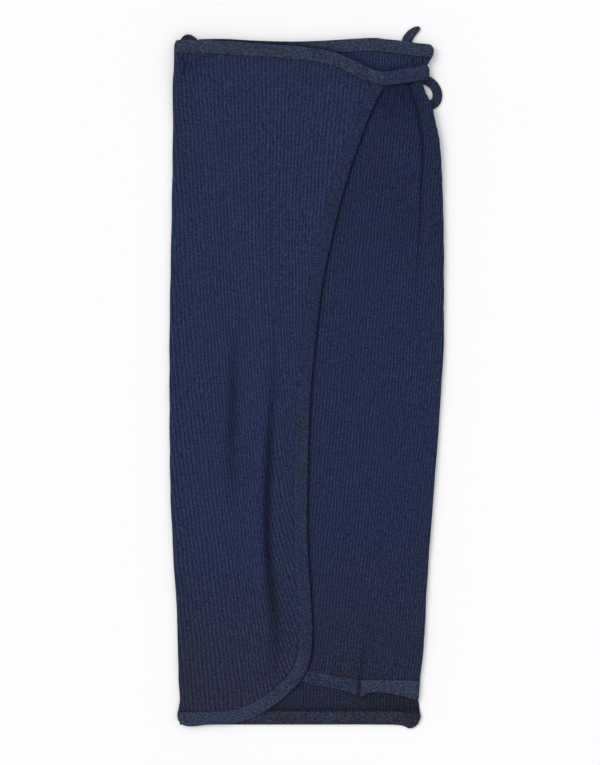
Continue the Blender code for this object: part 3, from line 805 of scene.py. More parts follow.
def build(name, sheet, material, node):
    """A closed mesh in an object that stands for a CAD node."""
    index = welded(sheet.middle)
    upper = sheet.middle + sheet.out * sheet.front[..., None]
    lower = sheet.middle - sheet.out * sheet.back[..., None]
    lower[..., 2] = np.maximum(lower[..., 2], 0.0)
    points = np.vstack([upper.reshape(-1, 3), lower.reshape(-1, 3)])
    turned = turned_over(sheet)
    front, back = index, index + index.size
    faces = faces_of(front, turned) + faces_of(back, not turned)
    rim = [(0, column) for column in range(index.shape[1])]
    rim += [(row, -1) for row in range(1, index.shape[0])]
    rim += [(-1, column) for column in range(index.shape[1] - 2, -1, -1)]
    rim += [(row, 0) for row in range(index.shape[0] - 2, 0, -1)]
    for start, end in zip(rim, rim[1:] + rim[:1]):
        if index[start] != index[end]:
            corners = [front[start], front[end], back[end], back[start]]
            faces.append([int(corner) for corner in (corners if turned else corners[::-1])])
    used = np.unique(np.concatenate([np.array(face) for face in faces]))
    renumber = np.full(len(points), -1)
    renumber[used] = np.arange(len(used))
    data = bpy.data.meshes.new(name)
    data.from_pydata((points[used] * MM).tolist(), [], [renumber[face].tolist() for face in faces])
    for key, values in sheet.marks.items():
        attribute = data.attributes.new(key, "FLOAT", "POINT")
        both = np.tile(values.ravel(), 2)
        attribute.data.foreach_set("value", both[used].astype(np.float32))
    data.update()
    data.shade_smooth()
    data.set_sharp_from_angle(angle=math.radians(SMOOTH_ANGLE))
    data.materials.append(material)
    piece = new_object(name, data)
    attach(piece, "root")
    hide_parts(node)
    return piece


def turned_round(side, extra, y, thickness):
    """Places and directions of cloth round a side fold; extra is its length past the fold."""
    radius = fold_radius(side, y)
    centre = fold_centre(side, y)
    base = lift(centre, y) + radius
    arm = radius - thickness / 2
    angle = np.clip(extra / arm, 0.0, math.pi)
    out, up = side * np.sin(angle), np.cos(angle)
    place = np.stack([centre + arm * out, np.broadcast_to(y, out.shape), base + arm * up], axis=-1)
    return place, np.stack([out, np.zeros_like(out), up], axis=-1)


def rib_profile(rib):
    """Height of the knit across a rib, from 0 in the groove to 1 on its broad crest."""
    wave = 0.5 + 0.5 * np.cos(2 * math.pi * rib)
    return wave**0.7


def panel_sheet(middle, out, rib, free, y, hollow):
    """Sheet of rib knit, whose ribs fade out where free falls to 0, with the painted shade it is
    given.
    """
    relief = rib_profile(rib)
    front = PANEL / 2 - RIB_DEPTH * (1 - relief) * free
    back = PANEL / 2 - RIB_DEPTH * relief * free
    sheet = Sheet(middle, out, front, back)
    return sheet.mark(rib=rib, along=y, hollow=hollow, grey=smoothstep(-y, *GREY_RAMP))


def ribbed(side, x, y, rib, depth_to_band, at_band):
    """Sheet of one front's panel where x past the side fold means cloth that goes round it."""
    centre = fold_centre(side, y)
    extra = np.maximum(side * (x - centre), 0.0)
    flat_x = np.where(extra > 0, centre, x)
    near = either(fade(depth_to_band, 0, BAND_SETTLE[1] - BAND_WIDTH), waist_share(y))
    z, shade = middle_height(side, flat_x, y, PANEL, either(near, at_band))
    if side > 0:
        shade = either(shade, under_shade(y))
    middle = np.stack([flat_x, y, z], axis=-1)
    round_place, round_out = turned_round(side, extra, y, PANEL)
    past = (extra > 0)[..., None]
    out = np.where(past, round_out, upward(middle))
    middle = np.where(past, round_place, middle)
    # painted shade along the seam with the binding, stronger towards the hem
    seam_shade = 0.2 + 0.6 * smoothstep(-y, 280, 385)
    seam_shade = seam_shade * fade(depth_to_band, 0.0, SEAM_SHADE_WIDTH)
    free = smoothstep(depth_to_band, 0.0, RIB_FADE)
    return panel_sheet(middle, out, rib, free, y, either(shade, seam_shade))


def over_edge_greyness(x, y):
    return 0.05 + 0.24 * smoothstep(-y, -60, 90) + 0.56 * smoothstep(-y, 310, 395)


def under_edge_greyness(x, y):
    """The under hem is greyer to the right of its pleat."""
    return 0.4 + 0.5 * smoothstep(x, PLEAT_X - 2, PLEAT_X + 3) * smoothstep(-y, 300, 340)


def lean_at(table, places, x, y):
    """Lean of the ribs at places between a table's columns."""
    names = table[0]._fields[1:]
    values = [read(table, "y", name, y) for name in names]
    result = np.array(values[0], float) * np.ones(np.shape(x))
    for index in range(1, len(names)):
        share = np.clip((x - places[index - 1]) / (places[index] - places[index - 1]), 0.0, 1.0)
        result = result + share * (values[index] - values[index - 1])
    return result


def wobble(x, y):
    """Sideways waver of the ribs."""
    slow = 0.4 * np.sin(y / 11.0 + x / 23.0) * np.sin(y / 27.0 - x / 37.0)
    return slow + 0.12 * np.sin(y / 14.0 - x / 11.0)


def run_ribs(start, levels, height, table, places):
    """x of each column at each level, following the ribs down from the top."""
    x = np.array(start, float)
    rows = [x]
    y = height(x, levels[0])
    for level in levels[1:]:
        lower = height(x, level)
        x = x + lean_at(table, places, x, y) * (y - lower)
        y = height(x, level)
        rows.append(x + wobble(x, y))
    return np.array(rows)


def stations(edge, hem, side, corner, seam):
    """Outer and inner points of a front's binding, and how many lie before its straight hem."""
    outer = smooth_route(edge, BAND_STEP)
    inner = outer + side * BAND_WIDTH * normals(outer)
    ease = smoothstep(lengths(outer), 0, 24)[:, None]
    inner = inner + (1 - ease) * (np.array(corner) - inner[0])
    for points in (outer, inner):
        points[:, 1] = np.minimum(points[:, 1], seam(points[:, 0]) + TUCK)
    end = fold_centre(side, (hem[-1].low + hem[-1].high) / 2)
    count = max(2, round(abs(end - hem[0].x) / BAND_STEP))
    x = np.linspace(hem[0].x, end, count + 1)[1:]
    straight = len(outer)
    outer = np.vstack([outer, np.stack([x, read(hem, "x", "low", x)], axis=-1)])
    inner = np.vstack([inner, np.stack([x, read(hem, "x", "high", x)], axis=-1)])
    return outer, inner, straight


def rounding(distance, width, radius=EDGE_ROUND):
    """Share of a double-folded strip's half thickness, round at both edges."""
    near = np.minimum(distance, width - distance)
    inside = np.clip(1 - near / radius, 0.0, 1.0)
    return np.maximum(np.sqrt(np.maximum(1 - inside**2, 0.0)), 0.12)


def across_shares():
    """Shares of a strip's width, closer together at its round edges."""
    return 0.5 - 0.5 * np.cos(np.linspace(0, math.pi, ACROSS_STEPS + 1))


def joined(first, second):
    """Two sheets in one grid, the second after the first's last row."""
    return Sheet(
        np.concatenate([first.middle, second.middle]),
        np.concatenate([first.out, second.out]),
        np.concatenate([first.front, second.front]),
        np.concatenate([first.back, second.back]),
    )


def banded(middle, distance, width):
    """Sheet of a binding that faces up; distance is measured from its outer edge."""
    half = BAND / 2 * rounding(distance, width)
    half = np.broadcast_to(half, middle.shape[:2])
    crown = CROWN * np.sin(math.pi * distance / width)
    return Sheet(middle, upward(middle), half + crown, half)


def turn_direction(step):
    """How far across and up a half turn points at one of its steps, from the top to the bottom."""
    angle = math.pi * (0.5 - step / TURN_STEPS)
    return math.cos(angle), math.sin(angle)


def sheet_of_rows(rows, half):
    """Sheet from rows that each give x, y and z and the direction out of the front."""
    columns = len(half)
    parts = np.array([[np.broadcast_to(part, columns) for part in row] for row in rows], float)
    parts = np.moveaxis(parts, 1, -1)
    half = np.broadcast_to(half, parts.shape[:2])
    return Sheet(parts[..., :3], parts[..., 3:], half, half)


def turn_of_band(side, y, half_front, half_back):
    """Rows of a binding round a side fold, one at the end of each step of the half turn."""
    arm = fold_radius(side, y) - BAND / 2
    steps = range(1, TURN_STEPS + 1)
    rows = [turned_round(side, arm * math.pi * step / TURN_STEPS, y, BAND) for step in steps]
    middle, out = (np.array(part) for part in zip(*rows))
    shape = middle.shape[:2]
    front, back = (np.broadcast_to(half, shape) for half in (half_front, half_back))
    return Sheet(middle, out, front, back)


def with_turn(side, flat, along, from_seam, shade, onward=1):
    """A front's binding that goes on round its side fold, with its marks but the grey; its painted
    shade ends where the turn begins.
    """
    turn = turn_of_band(side, flat.middle[-1, :, 1], flat.front[-1], flat.back[-1])
    steps = onward * np.linspace(0, HALF_TURN, TURN_STEPS + 1)[1:, None]
    shape = turn.front.shape
    along = np.vstack([along, np.broadcast_to(along[-1] + steps, shape)])
    from_seam = np.vstack([from_seam, np.broadcast_to(from_seam[-1], shape)])
    hollow = np.vstack([shade, np.zeros(shape)])
    return joined(flat, turn).mark(along=along, seam=from_seam, hollow=hollow)


def edge_binding(name, side, outer, inner, material, node, grey):
    """Binding of a front's edge and hem in one strip, from its waist corner to its side fold."""
    shares = across_shares()
    width = np.linalg.norm(inner - outer, axis=1)[:, None]
    points = outer[:, None] + (inner - outer)[:, None] * shares[None, :, None]
    x, y = points[..., 0], points[..., 1]
    z, shade = middle_height(side, x, y, BAND, 1.0)
    distance = width * shares
    flat = banded(np.stack([x, y, z], axis=-1), distance, width)
    along = np.broadcast_to(lengths(outer)[:, None], x.shape)
    sheet = with_turn(side, flat, along, width - distance, shade)
    sheet.mark(grey=grey(sheet.middle[..., 0], sheet.middle[..., 1]))
    return build(name, sheet, material, node)


def front_levels(edge, seam, hem):
    """Levels of a panel's rows, the edge's x at each, and the function for a row's height."""
    top_y, bottom_y = edge[0, 1], edge[-1, 1]

    def height(x, level):
        at_top = fade(top_y - level, 0, PANEL_TOP_FADE)
        at_hem = fade(level - bottom_y, 0, PANEL_HEM_FADE)
        y = level + at_top * (seam(x) + TUCK - top_y)
        return y + at_hem * (read(hem, "x", "high", x) - TUCK - bottom_y)

    level = edge[:, 1].copy()
    for _ in range(LEVEL_ROUNDS):
        level += edge[:, 1] - height(edge[:, 0], level)
    level = np.minimum.accumulate(level)
    keep = np.concatenate([[True], np.diff(level) < -0.05])
    return level[keep], edge[keep, 0], height


def panel_edge(outer, inner, straight):
    """The panel's own edge, a tuck inside its binding, down to where the hem runs straight."""
    width = np.linalg.norm(inner - outer, axis=1)[:, None]
    edge = (outer + (inner - outer) * (width - TUCK) / width)[:straight]
    at = lengths(edge)
    wanted = np.linspace(0, at[-1], max(2, round(at[-1] / ROW) + 1))
    return np.stack([np.interp(wanted, at, column) for column in edge.T], axis=-1)


def column_starts(first, last, anchor, pitch):
    """Columns from first to last and their ribs, RIB_STEPS to a rib, with one on the anchor."""
    step = pitch / RIB_STEPS
    low = math.floor((first - anchor) / step)
    high = math.ceil((last - anchor) / step)
    count = np.arange(low, high + 1)
    return anchor + count * step, count / RIB_STEPS


def panel_rows(side, levels, edge_x, height, columns, lean, low, high):
    """x, y, rib and distance to the edge binding of a front panel's grid between two limits."""
    starts, ribs = columns
    x = run_ribs(starts, levels, height, *lean)
    low, high = low[:, None], high[:, None]
    x = np.concatenate([low, np.clip(x, low, high), high], axis=1)
    rib = np.concatenate([[ribs[0]], ribs, [ribs[-1]]])
    rib = np.broadcast_to(rib, x.shape).copy()
    inside = (x > low) & (x < high)
    for places, ribs_here, x_here in zip(inside, rib, x):
        places = np.flatnonzero(places)
        if len(places) < 2:
            continue
        first, last = places[0], places[-1]
        step = (ribs_here[last] - ribs_here[first]) / max(x_here[last] - x_here[first], 1e-6)
        ribs_here[:first] = ribs_here[first] - step * (x_here[first] - x_here[:first])
        ribs_here[last + 1 :] = ribs_here[last] + step * (x_here[last + 1 :] - x_here[last])
    return x, height(x, levels[:, None]), rib, side * (x - edge_x[:, None]) - TUCK


def arc_limit(side, y):
    """x past the fold at which the cloth has made its half turn."""
    return fold_centre(side, y) + side * math.pi * (fold_radius(side, y) - PANEL / 2)


def finish_front(name, side, grid, levels, seam, hem_high, material, node):
    """A front's panel from its grid and the lines of its waist seam and hem seam."""
    x, y, rib, gap = grid
    depth = np.minimum(np.minimum(gap, seam(x) - y), y - hem_high)
    at_hem = fade(levels - levels[-1], 0, PANEL_HEM_FADE)[:, None]
    return build(name, ribbed(side, x, y, rib, depth, at_hem), material, node)


def make_over_panel(edge, material):
    """Over front's panel, whose ribs lean differently on the two sides of the long trough."""
    levels, edge_x, height = front_levels(edge, over_seam, OVER_HEM)
    line = np.minimum(x_at(LONG_TROUGH, levels), edge_x - 1.0)
    fold = arc_limit(-1, height(np.full(len(levels), LEFT_FOLD_X), levels))
    halves = []
    for start, lean, low, high in (
        (OVER_LEFT_START, (LEFT_LEAN, LEFT_LEAN_AT), fold, line),
        (OVER_RIGHT_START, (RIGHT_LEAN, RIGHT_LEAN_AT), line, edge_x),
    ):
        columns = column_starts(*start, line[0], OVER_RIB)
        halves.append(panel_rows(-1, levels, edge_x, height, columns, lean, low, high))
    grid = [np.concatenate(parts, axis=1) for parts in zip(*halves)]
    return finish_front("over_cloth", -1, grid, levels, over_seam, HEM_SEAM, material, "over_panel")


def make_under_panel(edge, material):
    """Under front's panel."""
    levels, edge_x, height = front_levels(edge, under_seam, UNDER_HEM)
    fold = arc_limit(1, height(np.full(len(levels), RIGHT_FOLD_X), levels))
    columns = column_starts(*UNDER_START, 0.0, UNDER_RIB)
    lean = (UNDER_LEAN, UNDER_LEAN_AT)
    grid = panel_rows(1, levels, edge_x, height, columns, lean, edge_x, fold)
    hem = read(UNDER_HEM, "x", "high", grid[0])
    return finish_front("under_cloth", 1, grid, levels, under_seam, hem, material, "under_panel")


def make_back_panel(material):
    """Back panel, whose inside shows below the fronts' hems."""
    top = float(back_seam(0.0)) + TUCK
    bottom = HEM_SEAM - TUCK
    levels = np.linspace(top, bottom, round((top - bottom) / BACK_ROW) + 1)
    at_step = [UNDER_HEM_END + 0.5, UNDER_HEM_END - 0.5]
    levels = np.sort(np.concatenate([levels, at_step]))[::-1]

    def height(x, level):
        return level + smoothstep(level, BACK_TOP_FADE, top) * (back_seam(x) - back_seam(0.0))

    starts, ribs = column_starts(*BACK_START, 0.0, BACK_RIB)
    x = run_ribs(starts, levels, height, BACK_LEAN, BACK_LEAN_AT)
    low, high = (back_edge(side, levels)[:, None] for side in (-1, 1))
    x = np.clip(x, low, high)
    y = height(x, levels[:, None])
    middle = np.stack([x, y, lift(x, y) + PANEL / 2], axis=-1)
    free = smoothstep(np.minimum(back_seam(x) - y, y - HEM_SEAM), 0, RIB_FADE)
    # painted shadow of the under hem on the back panel, and painted shade along the hem seam
    below = (0.3 + 0.28 * smoothstep(x, 45, 90)) * fade(y, -372, -340)
    hollow = below + 0.8 * fade(y, HEM_SEAM, HEM_SEAM + SEAM_SHADE_WIDTH)
    hollow = either(np.minimum(hollow, 1.0), painted_back_crease_shade(x, y))
    rib = np.broadcast_to(ribs, x.shape)
    sheet = panel_sheet(middle, upward(middle), rib, free, y, hollow)
    return build("back_cloth", sheet, material, "back_panel")


def painted_back_crease_shade(x, y):
    """Painted shade of a short crease, not in the shape, from the back's hem seam to its right
    corner.
    """
    line = HEM_SEAM + 1.8 - 4.5 * smoothstep(x, 92, 126)
    return 0.9 * window(x, 84, 94, 122, 130) * hump(y, line, 1.1)


def back_strip(name, low_line, high_line, level, material, node, grey):
    """A binding of the back panel between two lines."""
    shares = across_shares()[:, None]
    left, right = float(back_edge(-1, level)), float(back_edge(1, level))
    x = np.linspace(left, right, round((right - left) / BAND_STEP) + 1)[None, :]
    low, high = low_line(x), high_line(x)
    y = low + shares * (high - low)
    edge_left, edge_right = back_edge(-1, y), back_edge(1, y)
    x = edge_left + (x - left) / (right - left) * (edge_right - edge_left)
    width = np.broadcast_to(high - low, y.shape)
    distance = shares * width
    half = BAND / 2 * rounding(distance, width)
    middle = np.stack([x, y, lift(x, y) + BAND / 2], axis=-1)
    from_seam = distance if level > 0 else width - distance
    # painted shade at the right end of the hem band
    corner = 0.45 * smoothstep(x, 98, 122) * smoothstep(-y, 300, 380)
    sheet = Sheet(middle, upward(middle), half, half)
    sheet.mark(along=x, seam=from_seam, hollow=either(painted_back_crease_shade(x, y), corner), grey=grey)
    return build(name, sheet, material, node)


def waist_height(x, y):
    """Middle of the over waistband, which goes over to the tie's height at the corner."""
    own, shade = middle_height(-1, x, y, BAND, 1.0)
    share = smoothstep(x, CORNER_X - 22, CORNER_X)
    return own + share * (np.maximum(tie_height(x, y), own) - own), shade


def make_waistband(name, side, line, start, material, node, grey):
    """Waistband of one front, from its free end round its side fold."""
    distance = across_shares() * BAND_WIDTH
    fold_y = line(float(fold_centre(side, WAIST_LEVEL)), distance)
    end = fold_centre(side, fold_y)
    count = round(abs(float(end[0]) - start) / BAND_STEP)
    x = start + np.linspace(0, 1, count + 1)[:, None] * (end - start)
    y = line(x, distance)
    z, shade = waist_height(x, y) if side < 0 else middle_height(side, x, y, BAND, 1.0)
    flat = banded(np.stack([x, y, z], axis=-1), distance, BAND_WIDTH)
    sheet = with_turn(side, flat, x, np.broadcast_to(distance, x.shape), shade, side)
    return build(name, sheet.mark(grey=grey), material, node)


def over_line(x, distance):
    return band_line(x, distance * 2 * OVER_WAIST_HALF / BAND_WIDTH - OVER_WAIST_HALF)


def under_line(x, distance):
    return waist_top(x) - BAND_WIDTH + distance


def make_waist_tie(material):
    """Tie from the over front's corner, across to the right side and round it to the knot."""
    shares = across_shares()
    offset = (2 * shares - 1) * TIE_HALF
    distance = 2 * TIE_HALF * shares
    widen = OVER_WAIST_HALF / TIE_HALF
    fold_y = band_line(float(fold_centre(1, TIE_LEVEL)), offset)
    centre = fold_centre(1, fold_y)
    x = CORNER_X + np.linspace(0, 1, TIE_ROWS)[:, None] * (centre - CORNER_X)
    grow = widen + (1 - widen) * smoothstep(x, CORNER_X, CORNER_X + TIE_WIDEN)
    y = band_line(x, offset * grow)
    own = middle_height(-1, x, y, BAND, 1.0)[0]
    z = tie_height(x, y)
    z = np.where(x <= CORNER_X + 0.01, np.maximum(z, own), z)
    flat = banded(np.stack([x, y, z], axis=-1), distance, 2 * TIE_HALF)

    rounded = smoothstep(shares, 0.3, 0.0) + 0.5 * smoothstep(shares, 0.75, 1.0)
    arm = TIE_SIDE - BAND / 2 - centre - TIE_CORNER * rounded
    top, low = z[-1], BAND / 2
    rows = []
    for step in range(1, TURN_STEPS + 1):
        across, up = turn_direction(step)
        height = (top + low) / 2 + (top - low) / 2 * up
        rows.append((centre + arm * across, fold_y, height, across, 0.0, up))
    for share in (0.5, 1.0):
        rows.append((centre + share * (TIE_KNOT_X - centre), fold_y, low, 0.0, 0.0, -1.0))
    turn = sheet_of_rows(rows, flat.back[-1])
    sheet = joined(flat, turn)
    along = np.concatenate([x, x[-1] + np.linspace(1, 30, len(rows))[:, None]])
    sheet.mark(along=along, seam=distance, hollow=0.0, grey=0.4)
    return build("waist_tie_cloth", sheet, material, "waist_tie")


def strip(name, points, widths, material, node, crease=0.0, hollow=0.0, grey=0.5):
    """Double-folded strip that lies along a route, with a soft crease along its middle and an even
    painted shade where one is given.
    """
    shares = across_shares()
    side = normals(points)
    widths = np.broadcast_to(widths, len(points))[:, None]
    offset = (2 * shares - 1) * widths
    places = points[:, None] + side[:, None] * offset[..., None]
    distance = shares * 2 * widths
    half = BAND / 2 * rounding(distance, 2 * widths, STRIP_ROUND)
    dent = crease * hump(shares, 0.5, 0.12)
    middle = np.concatenate([places, np.full(places.shape[:2] + (1,), BAND / 2)], axis=-1)
    sheet = Sheet(middle, upward(middle), half - dent, half)
    sheet.mark(along=lengths(points)[:, None], seam=distance, hollow=hollow, grey=grey)
    return build(name, sheet, material, node)


def make_tie_turn(material):
    """Under tie's turn over the top of the back waistband."""
    inside = float(lift(UNDER_BAND_START, WAIST_LEVEL)) + BAND + GAP + BAND / 2
    outside = BAND / 2
    arm = (inside - outside) / 2
    x = np.linspace(TIE_TURN[0].x, TIE_TURN[-1].x, TIE_TURN_COLUMNS)
    crest = read(TIE_TURN, "x", "crest", x)
    rows = [(x, y, inside, 0.0, 0.0, 1.0) for y in (TURN_LEG, (TURN_LEG + crest) / 2)]
    for step in range(TURN_STEPS + 1):
        across, up = turn_direction(step)
        rows.append((x, crest + arm * across, outside + arm + arm * up, 0.0, across, up))
    rows.append((x, TURN_BACK, outside, 0.0, 0.0, -1.0))
    distance = x - x[0]
    sheet = sheet_of_rows(rows, BAND / 2 * rounding(distance, distance[-1], TIE_TURN_ROUND))
    # painted shade over the whole turn
    sheet.mark(along=sheet.middle[..., 1], seam=distance, hollow=0.45, grey=0.2)
    return build("under_tie_turn_cloth", sheet, material, "under_tie_turn")


def make_knot(material):
    """Knot behind the waist, pressed flat."""
    low, high = (np.array(corner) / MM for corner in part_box("tie_knot"))
    width, height = high[0] - low[0], high[1] - low[1]
    across = across_shares() * width
    up = across_shares() * height
    x, y = np.meshgrid(low[0] + across, low[1] + up)
    half = rounding(across, width, KNOT_ROUND) * rounding(up[:, None], height, KNOT_ROUND)
    half = BAND / 2 * half * (1 - 0.1 * np.cos(y / 3.0 + x / 5.0) ** 2)
    middle = np.stack([x, y, np.full(x.shape, BAND / 2)], axis=-1)
    sheet = Sheet(middle, upward(middle), half, half)
    # painted shade over the whole knot
    sheet.mark(along=x, seam=y - low[1], hollow=0.2, grey=0.5)
    return build("tie_knot_cloth", sheet, material, "tie_knot")


# Materials


def add(tree, kind, inputs=None, **settings):
    """New shader node with its settings and inputs; an input is a socket to link or a value."""
    node = tree.nodes.new(kind)
    for name, value in settings.items():
        setattr(node, name, value)
    for key, value in (inputs or {}).items():
        if isinstance(value, bpy.types.NodeSocket):
            tree.links.new(value, node.inputs[key])
        else:
            node.inputs[key].default_value = value
    return node


def maths(tree, operation, first, second=0.0, third=0.0):
    inputs = {0: first, 1: second, 2: third}
    return add(tree, "ShaderNodeMath", inputs, operation=operation).outputs[0]


def times(tree, first, second):
    return maths(tree, "MULTIPLY", first, second)


def total_of(tree, *parts):
    result = parts[0]
    for part in parts[1:]:
        result = maths(tree, "ADD", result, part)
    return result


def mark(tree, name):
    return add(tree, "ShaderNodeAttribute", attribute_name=name).outputs["Fac"]


def ramp(tree, value, start, end, low, high):
    """Even change from low to high while the value goes from start to end."""
    inputs = {"Value": value, "From Min": start, "From Max": end, "To Min": low, "To Max": high}
    return add(tree, "ShaderNodeMapRange", inputs).outputs[0]


def wave_of(tree, phase, kind="SINE"):
    """Wave from 0 to 1 of a phase counted in whole waves."""
    wave = maths(tree, kind, times(tree, phase, 2 * math.pi))
    return maths(tree, "MULTIPLY_ADD", wave, 0.5, 0.5)


def noise(tree, scale, detail=2.0, roughness=0.5, stretch=1.0):
    """Noise in millimetres of the object, longer along the ribs where stretch is below 1."""
    place = add(tree, "ShaderNodeTexCoord").outputs["Object"]
    inputs = {"Vector": place, "Scale": (1 / MM, stretch / MM, 1 / MM)}
    vector = add(tree, "ShaderNodeMapping", inputs).outputs["Vector"]
    inputs = {"Vector": vector, "Scale": scale, "Detail": detail, "Roughness": roughness}
    return add(tree, "ShaderNodeTexNoise", inputs).outputs["Fac"]


def grain(tree, scale, strength, detail=2.0, stretch=1.0):
    """Noise around zero."""
    raw = noise(tree, scale, detail, 0.6, stretch)
    return times(tree, maths(tree, "SUBTRACT", raw, 0.5), strength)


def colour_mix(tree, share, first, second):
    """Mix of two colours, which are the sockets 6 and 7 of the mix node."""
    colours = {6: first, 7: second}
    for key, colour in colours.items():
        if isinstance(colour, tuple):
            colours[key] = (*colour, 1.0)
    return add(tree, "ShaderNodeMix", {0: share, **colours}, data_type="RGBA").outputs[2]


def clamped(tree, value):
    return add(tree, "ShaderNodeClamp", {"Value": value}).outputs[0]


def scaled(tree, colour, factor):
    """A colour times a number."""
    inputs = {0: colour, "Scale": factor}
    return add(tree, "ShaderNodeVectorMath", inputs, operation="SCALE").outputs[0]


def tinted(tree, colour, tint):
    inputs = {0: colour, 1: tint}
    return add(tree, "ShaderNodeVectorMath", inputs, operation="MULTIPLY").outputs[0]


def cloth_shader(name, colour, height, bump):
    """Finishes a material: a rough knit surface with a little fuzz."""
    material = bpy.data.materials.new(name)
    material.use_nodes = True
    tree = material.node_tree
    tree.nodes.clear()
    relief = {"Height": height(tree), "Distance": MM, "Strength": bump}
    inputs = {
        "Base Color": colour(tree),
        "Roughness": 0.9,
        "Specular IOR Level": 0.08,
        "Sheen Weight": 0.04,
        "Sheen Roughness": 0.5,
        "Sheen Tint": (0.5, 0.6, 0.85, 1),
        "Normal": add(tree, "ShaderNodeBump", relief).outputs["Normal"],
    }
    shader = add(tree, "ShaderNodeBsdfPrincipled", inputs)
    add(tree, "ShaderNodeOutputMaterial", {"Surface": shader.outputs["BSDF"]})
    return material


def rib_wave(tree):
    """Rib crests as 1 and grooves as 0, a little uneven."""
    drift = grain(tree, 0.09, 0.8, stretch=0.5)
    jitter = grain(tree, 0.45, 0.4, stretch=0.7)
    return wave_of(tree, total_of(tree, mark(tree, "rib"), drift, jitter), "COSINE")


def rib_loops(tree):
    """Rows of loops along the ribs, as light and dark blobs."""
    shift = grain(tree, 0.26, 5.0, stretch=0.3)
    row = maths(tree, "DIVIDE", mark(tree, "along"), LOOP_ROW)
    return wave_of(tree, maths(tree, "ADD", row, shift))


def band_loops(tree):
    """V-shaped loops of a binding's smooth knit."""
    across = maths(tree, "DIVIDE", mark(tree, "along"), 1.6)
    bent = maths(tree, "ABSOLUTE", maths(tree, "SINE", times(tree, across, math.pi)))
    row = maths(tree, "DIVIDE", mark(tree, "seam"), 1.8)
    return wave_of(tree, maths(tree, "ADD", row, times(tree, bent, 0.5)))


def bright_flecks(tree, amount):
    """Short pale fibres that stand out here and there."""
    return ramp(tree, noise(tree, 0.62, 1.0, stretch=0.8), 0.6, 0.72, 0.0, amount)


def heather(tree, blue, grey, *parts):
    """Threads of a deep and a pale colour, mixed by the sum of the parts, in soft blotches."""
    mean = colour_mix(tree, mark(tree, "grey"), blue, grey)
    share = clamped(tree, total_of(tree, *parts, THREAD_BALANCE))
    deep = tinted(tree, mean, DEEP_THREAD)
    threads = colour_mix(tree, share, deep, tinted(tree, mean, PALE_THREAD))
    blotch = clamped(tree, maths(tree, "ADD", grain(tree, 0.06, 2.6), 0.5))
    cool = tinted(tree, threads, COOL_BLOTCH)
    return colour_mix(tree, blotch, cool, tinted(tree, threads, WARM_BLOTCH))


def left_by_painted_shade(tree):
    """Share of the colour that is left under the painted shade of creases, contacts and hollows."""
    return maths(tree, "MULTIPLY_ADD", mark(tree, "hollow"), -PAINTED_SHADE_STRENGTH, 1.0)


def beside_seam(tree, line, near, far):
    """1 on a line beside a binding's seam, and 0 from far away from it on."""
    off = maths(tree, "ABSOLUTE", maths(tree, "SUBTRACT", mark(tree, "seam"), line))
    return ramp(tree, off, near, far, 1.0, 0.0)


def seam_groove(tree):
    return beside_seam(tree, GROOVE_LINE, 0.3, 1.2)


def stitch_flecks(tree):
    """How much the short light stitches beside a seam show, here and there."""
    wave = maths(tree, "SINE", times(tree, mark(tree, "along"), 2 * math.pi / STITCH_PITCH))
    line = beside_seam(tree, STITCH_LINE, 0.25, 0.75)
    dash = times(tree, line, maths(tree, "GREATER_THAN", wave, 0.1))
    shown = maths(tree, "GREATER_THAN", noise(tree, 0.05, 1.0), 0.52)
    return times(tree, dash, times(tree, shown, 0.45))


def rib_knit(name, blue, grey):
    """Heathered rib knit, greyer towards the hem, with painted shade in its rib grooves, creases
    and contacts.
    """

    def colour(tree):
        # painted shade: rib grooves take more deep thread and look darker, crests paler
        wave = maths(tree, "MULTIPLY_ADD", rib_wave(tree), 0.48, -0.24)
        loops = maths(tree, "MULTIPLY_ADD", rib_loops(tree), 0.34, -0.17)
        fibres = grain(tree, 0.7, 3.2, 3.0, stretch=0.8)
        fine = grain(tree, 1.6, 2.2)
        mixed = heather(tree, blue, grey, wave, loops, fibres, fine, bright_flecks(tree, 0.6))
        return scaled(tree, mixed, left_by_painted_shade(tree))

    def height(tree):
        wave, loops = times(tree, rib_wave(tree), 0.25), times(tree, rib_loops(tree), 0.12)
        return total_of(tree, wave, loops, grain(tree, 1.1, 0.9, 3.0))

    return cloth_shader(name, colour, height, 0.7)


def binding(name, blue, grey):
    """Smooth fuzzy knit of the bindings and ties, with painted shade in creases, contacts and the
    groove beside the seam.
    """

    def colour(tree):
        fibres, fine = grain(tree, 0.6, 3.8, 3.0), grain(tree, 1.6, 2.2)
        mixed = heather(tree, blue, grey, fibres, fine, bright_flecks(tree, 0.5))
        stitched = colour_mix(tree, stitch_flecks(tree), mixed, STITCH_COLOUR)
        # painted shade in the groove beside the seam
        groove = maths(tree, "MULTIPLY_ADD", seam_groove(tree), -0.28, 1.0)
        return scaled(tree, stitched, times(tree, left_by_painted_shade(tree), groove))

    def height(tree):
        loops, groove = times(tree, band_loops(tree), 0.1), times(tree, seam_groove(tree), -0.5)
        return total_of(tree, loops, grain(tree, 1.1, 1.0, 3.0), groove)

    return cloth_shader(name, colour, height, 0.6)


# Scene


def make_floor():
    material = bpy.data.materials.new("floor")
    material.use_nodes = True
    shader = material.node_tree.nodes["Principled BSDF"]
    shader.inputs["Base Color"].default_value = (0.96, 0.96, 0.96, 1)
    shader.inputs["Roughness"].default_value = 0.9
    shader.inputs["Specular IOR Level"].default_value = 0.0
    data = bpy.data.meshes.new("floor")
    signs = ((-1, -1), (1, -1), (1, 1), (-1, 1))
    corners = [(x * FLOOR_REACH, y * FLOOR_REACH, FLOOR_LEVEL) for x, y in signs]
    data.from_pydata(corners, [], [(0, 1, 2, 3)])
    data.materials.append(material)
    new_object("floor", data)


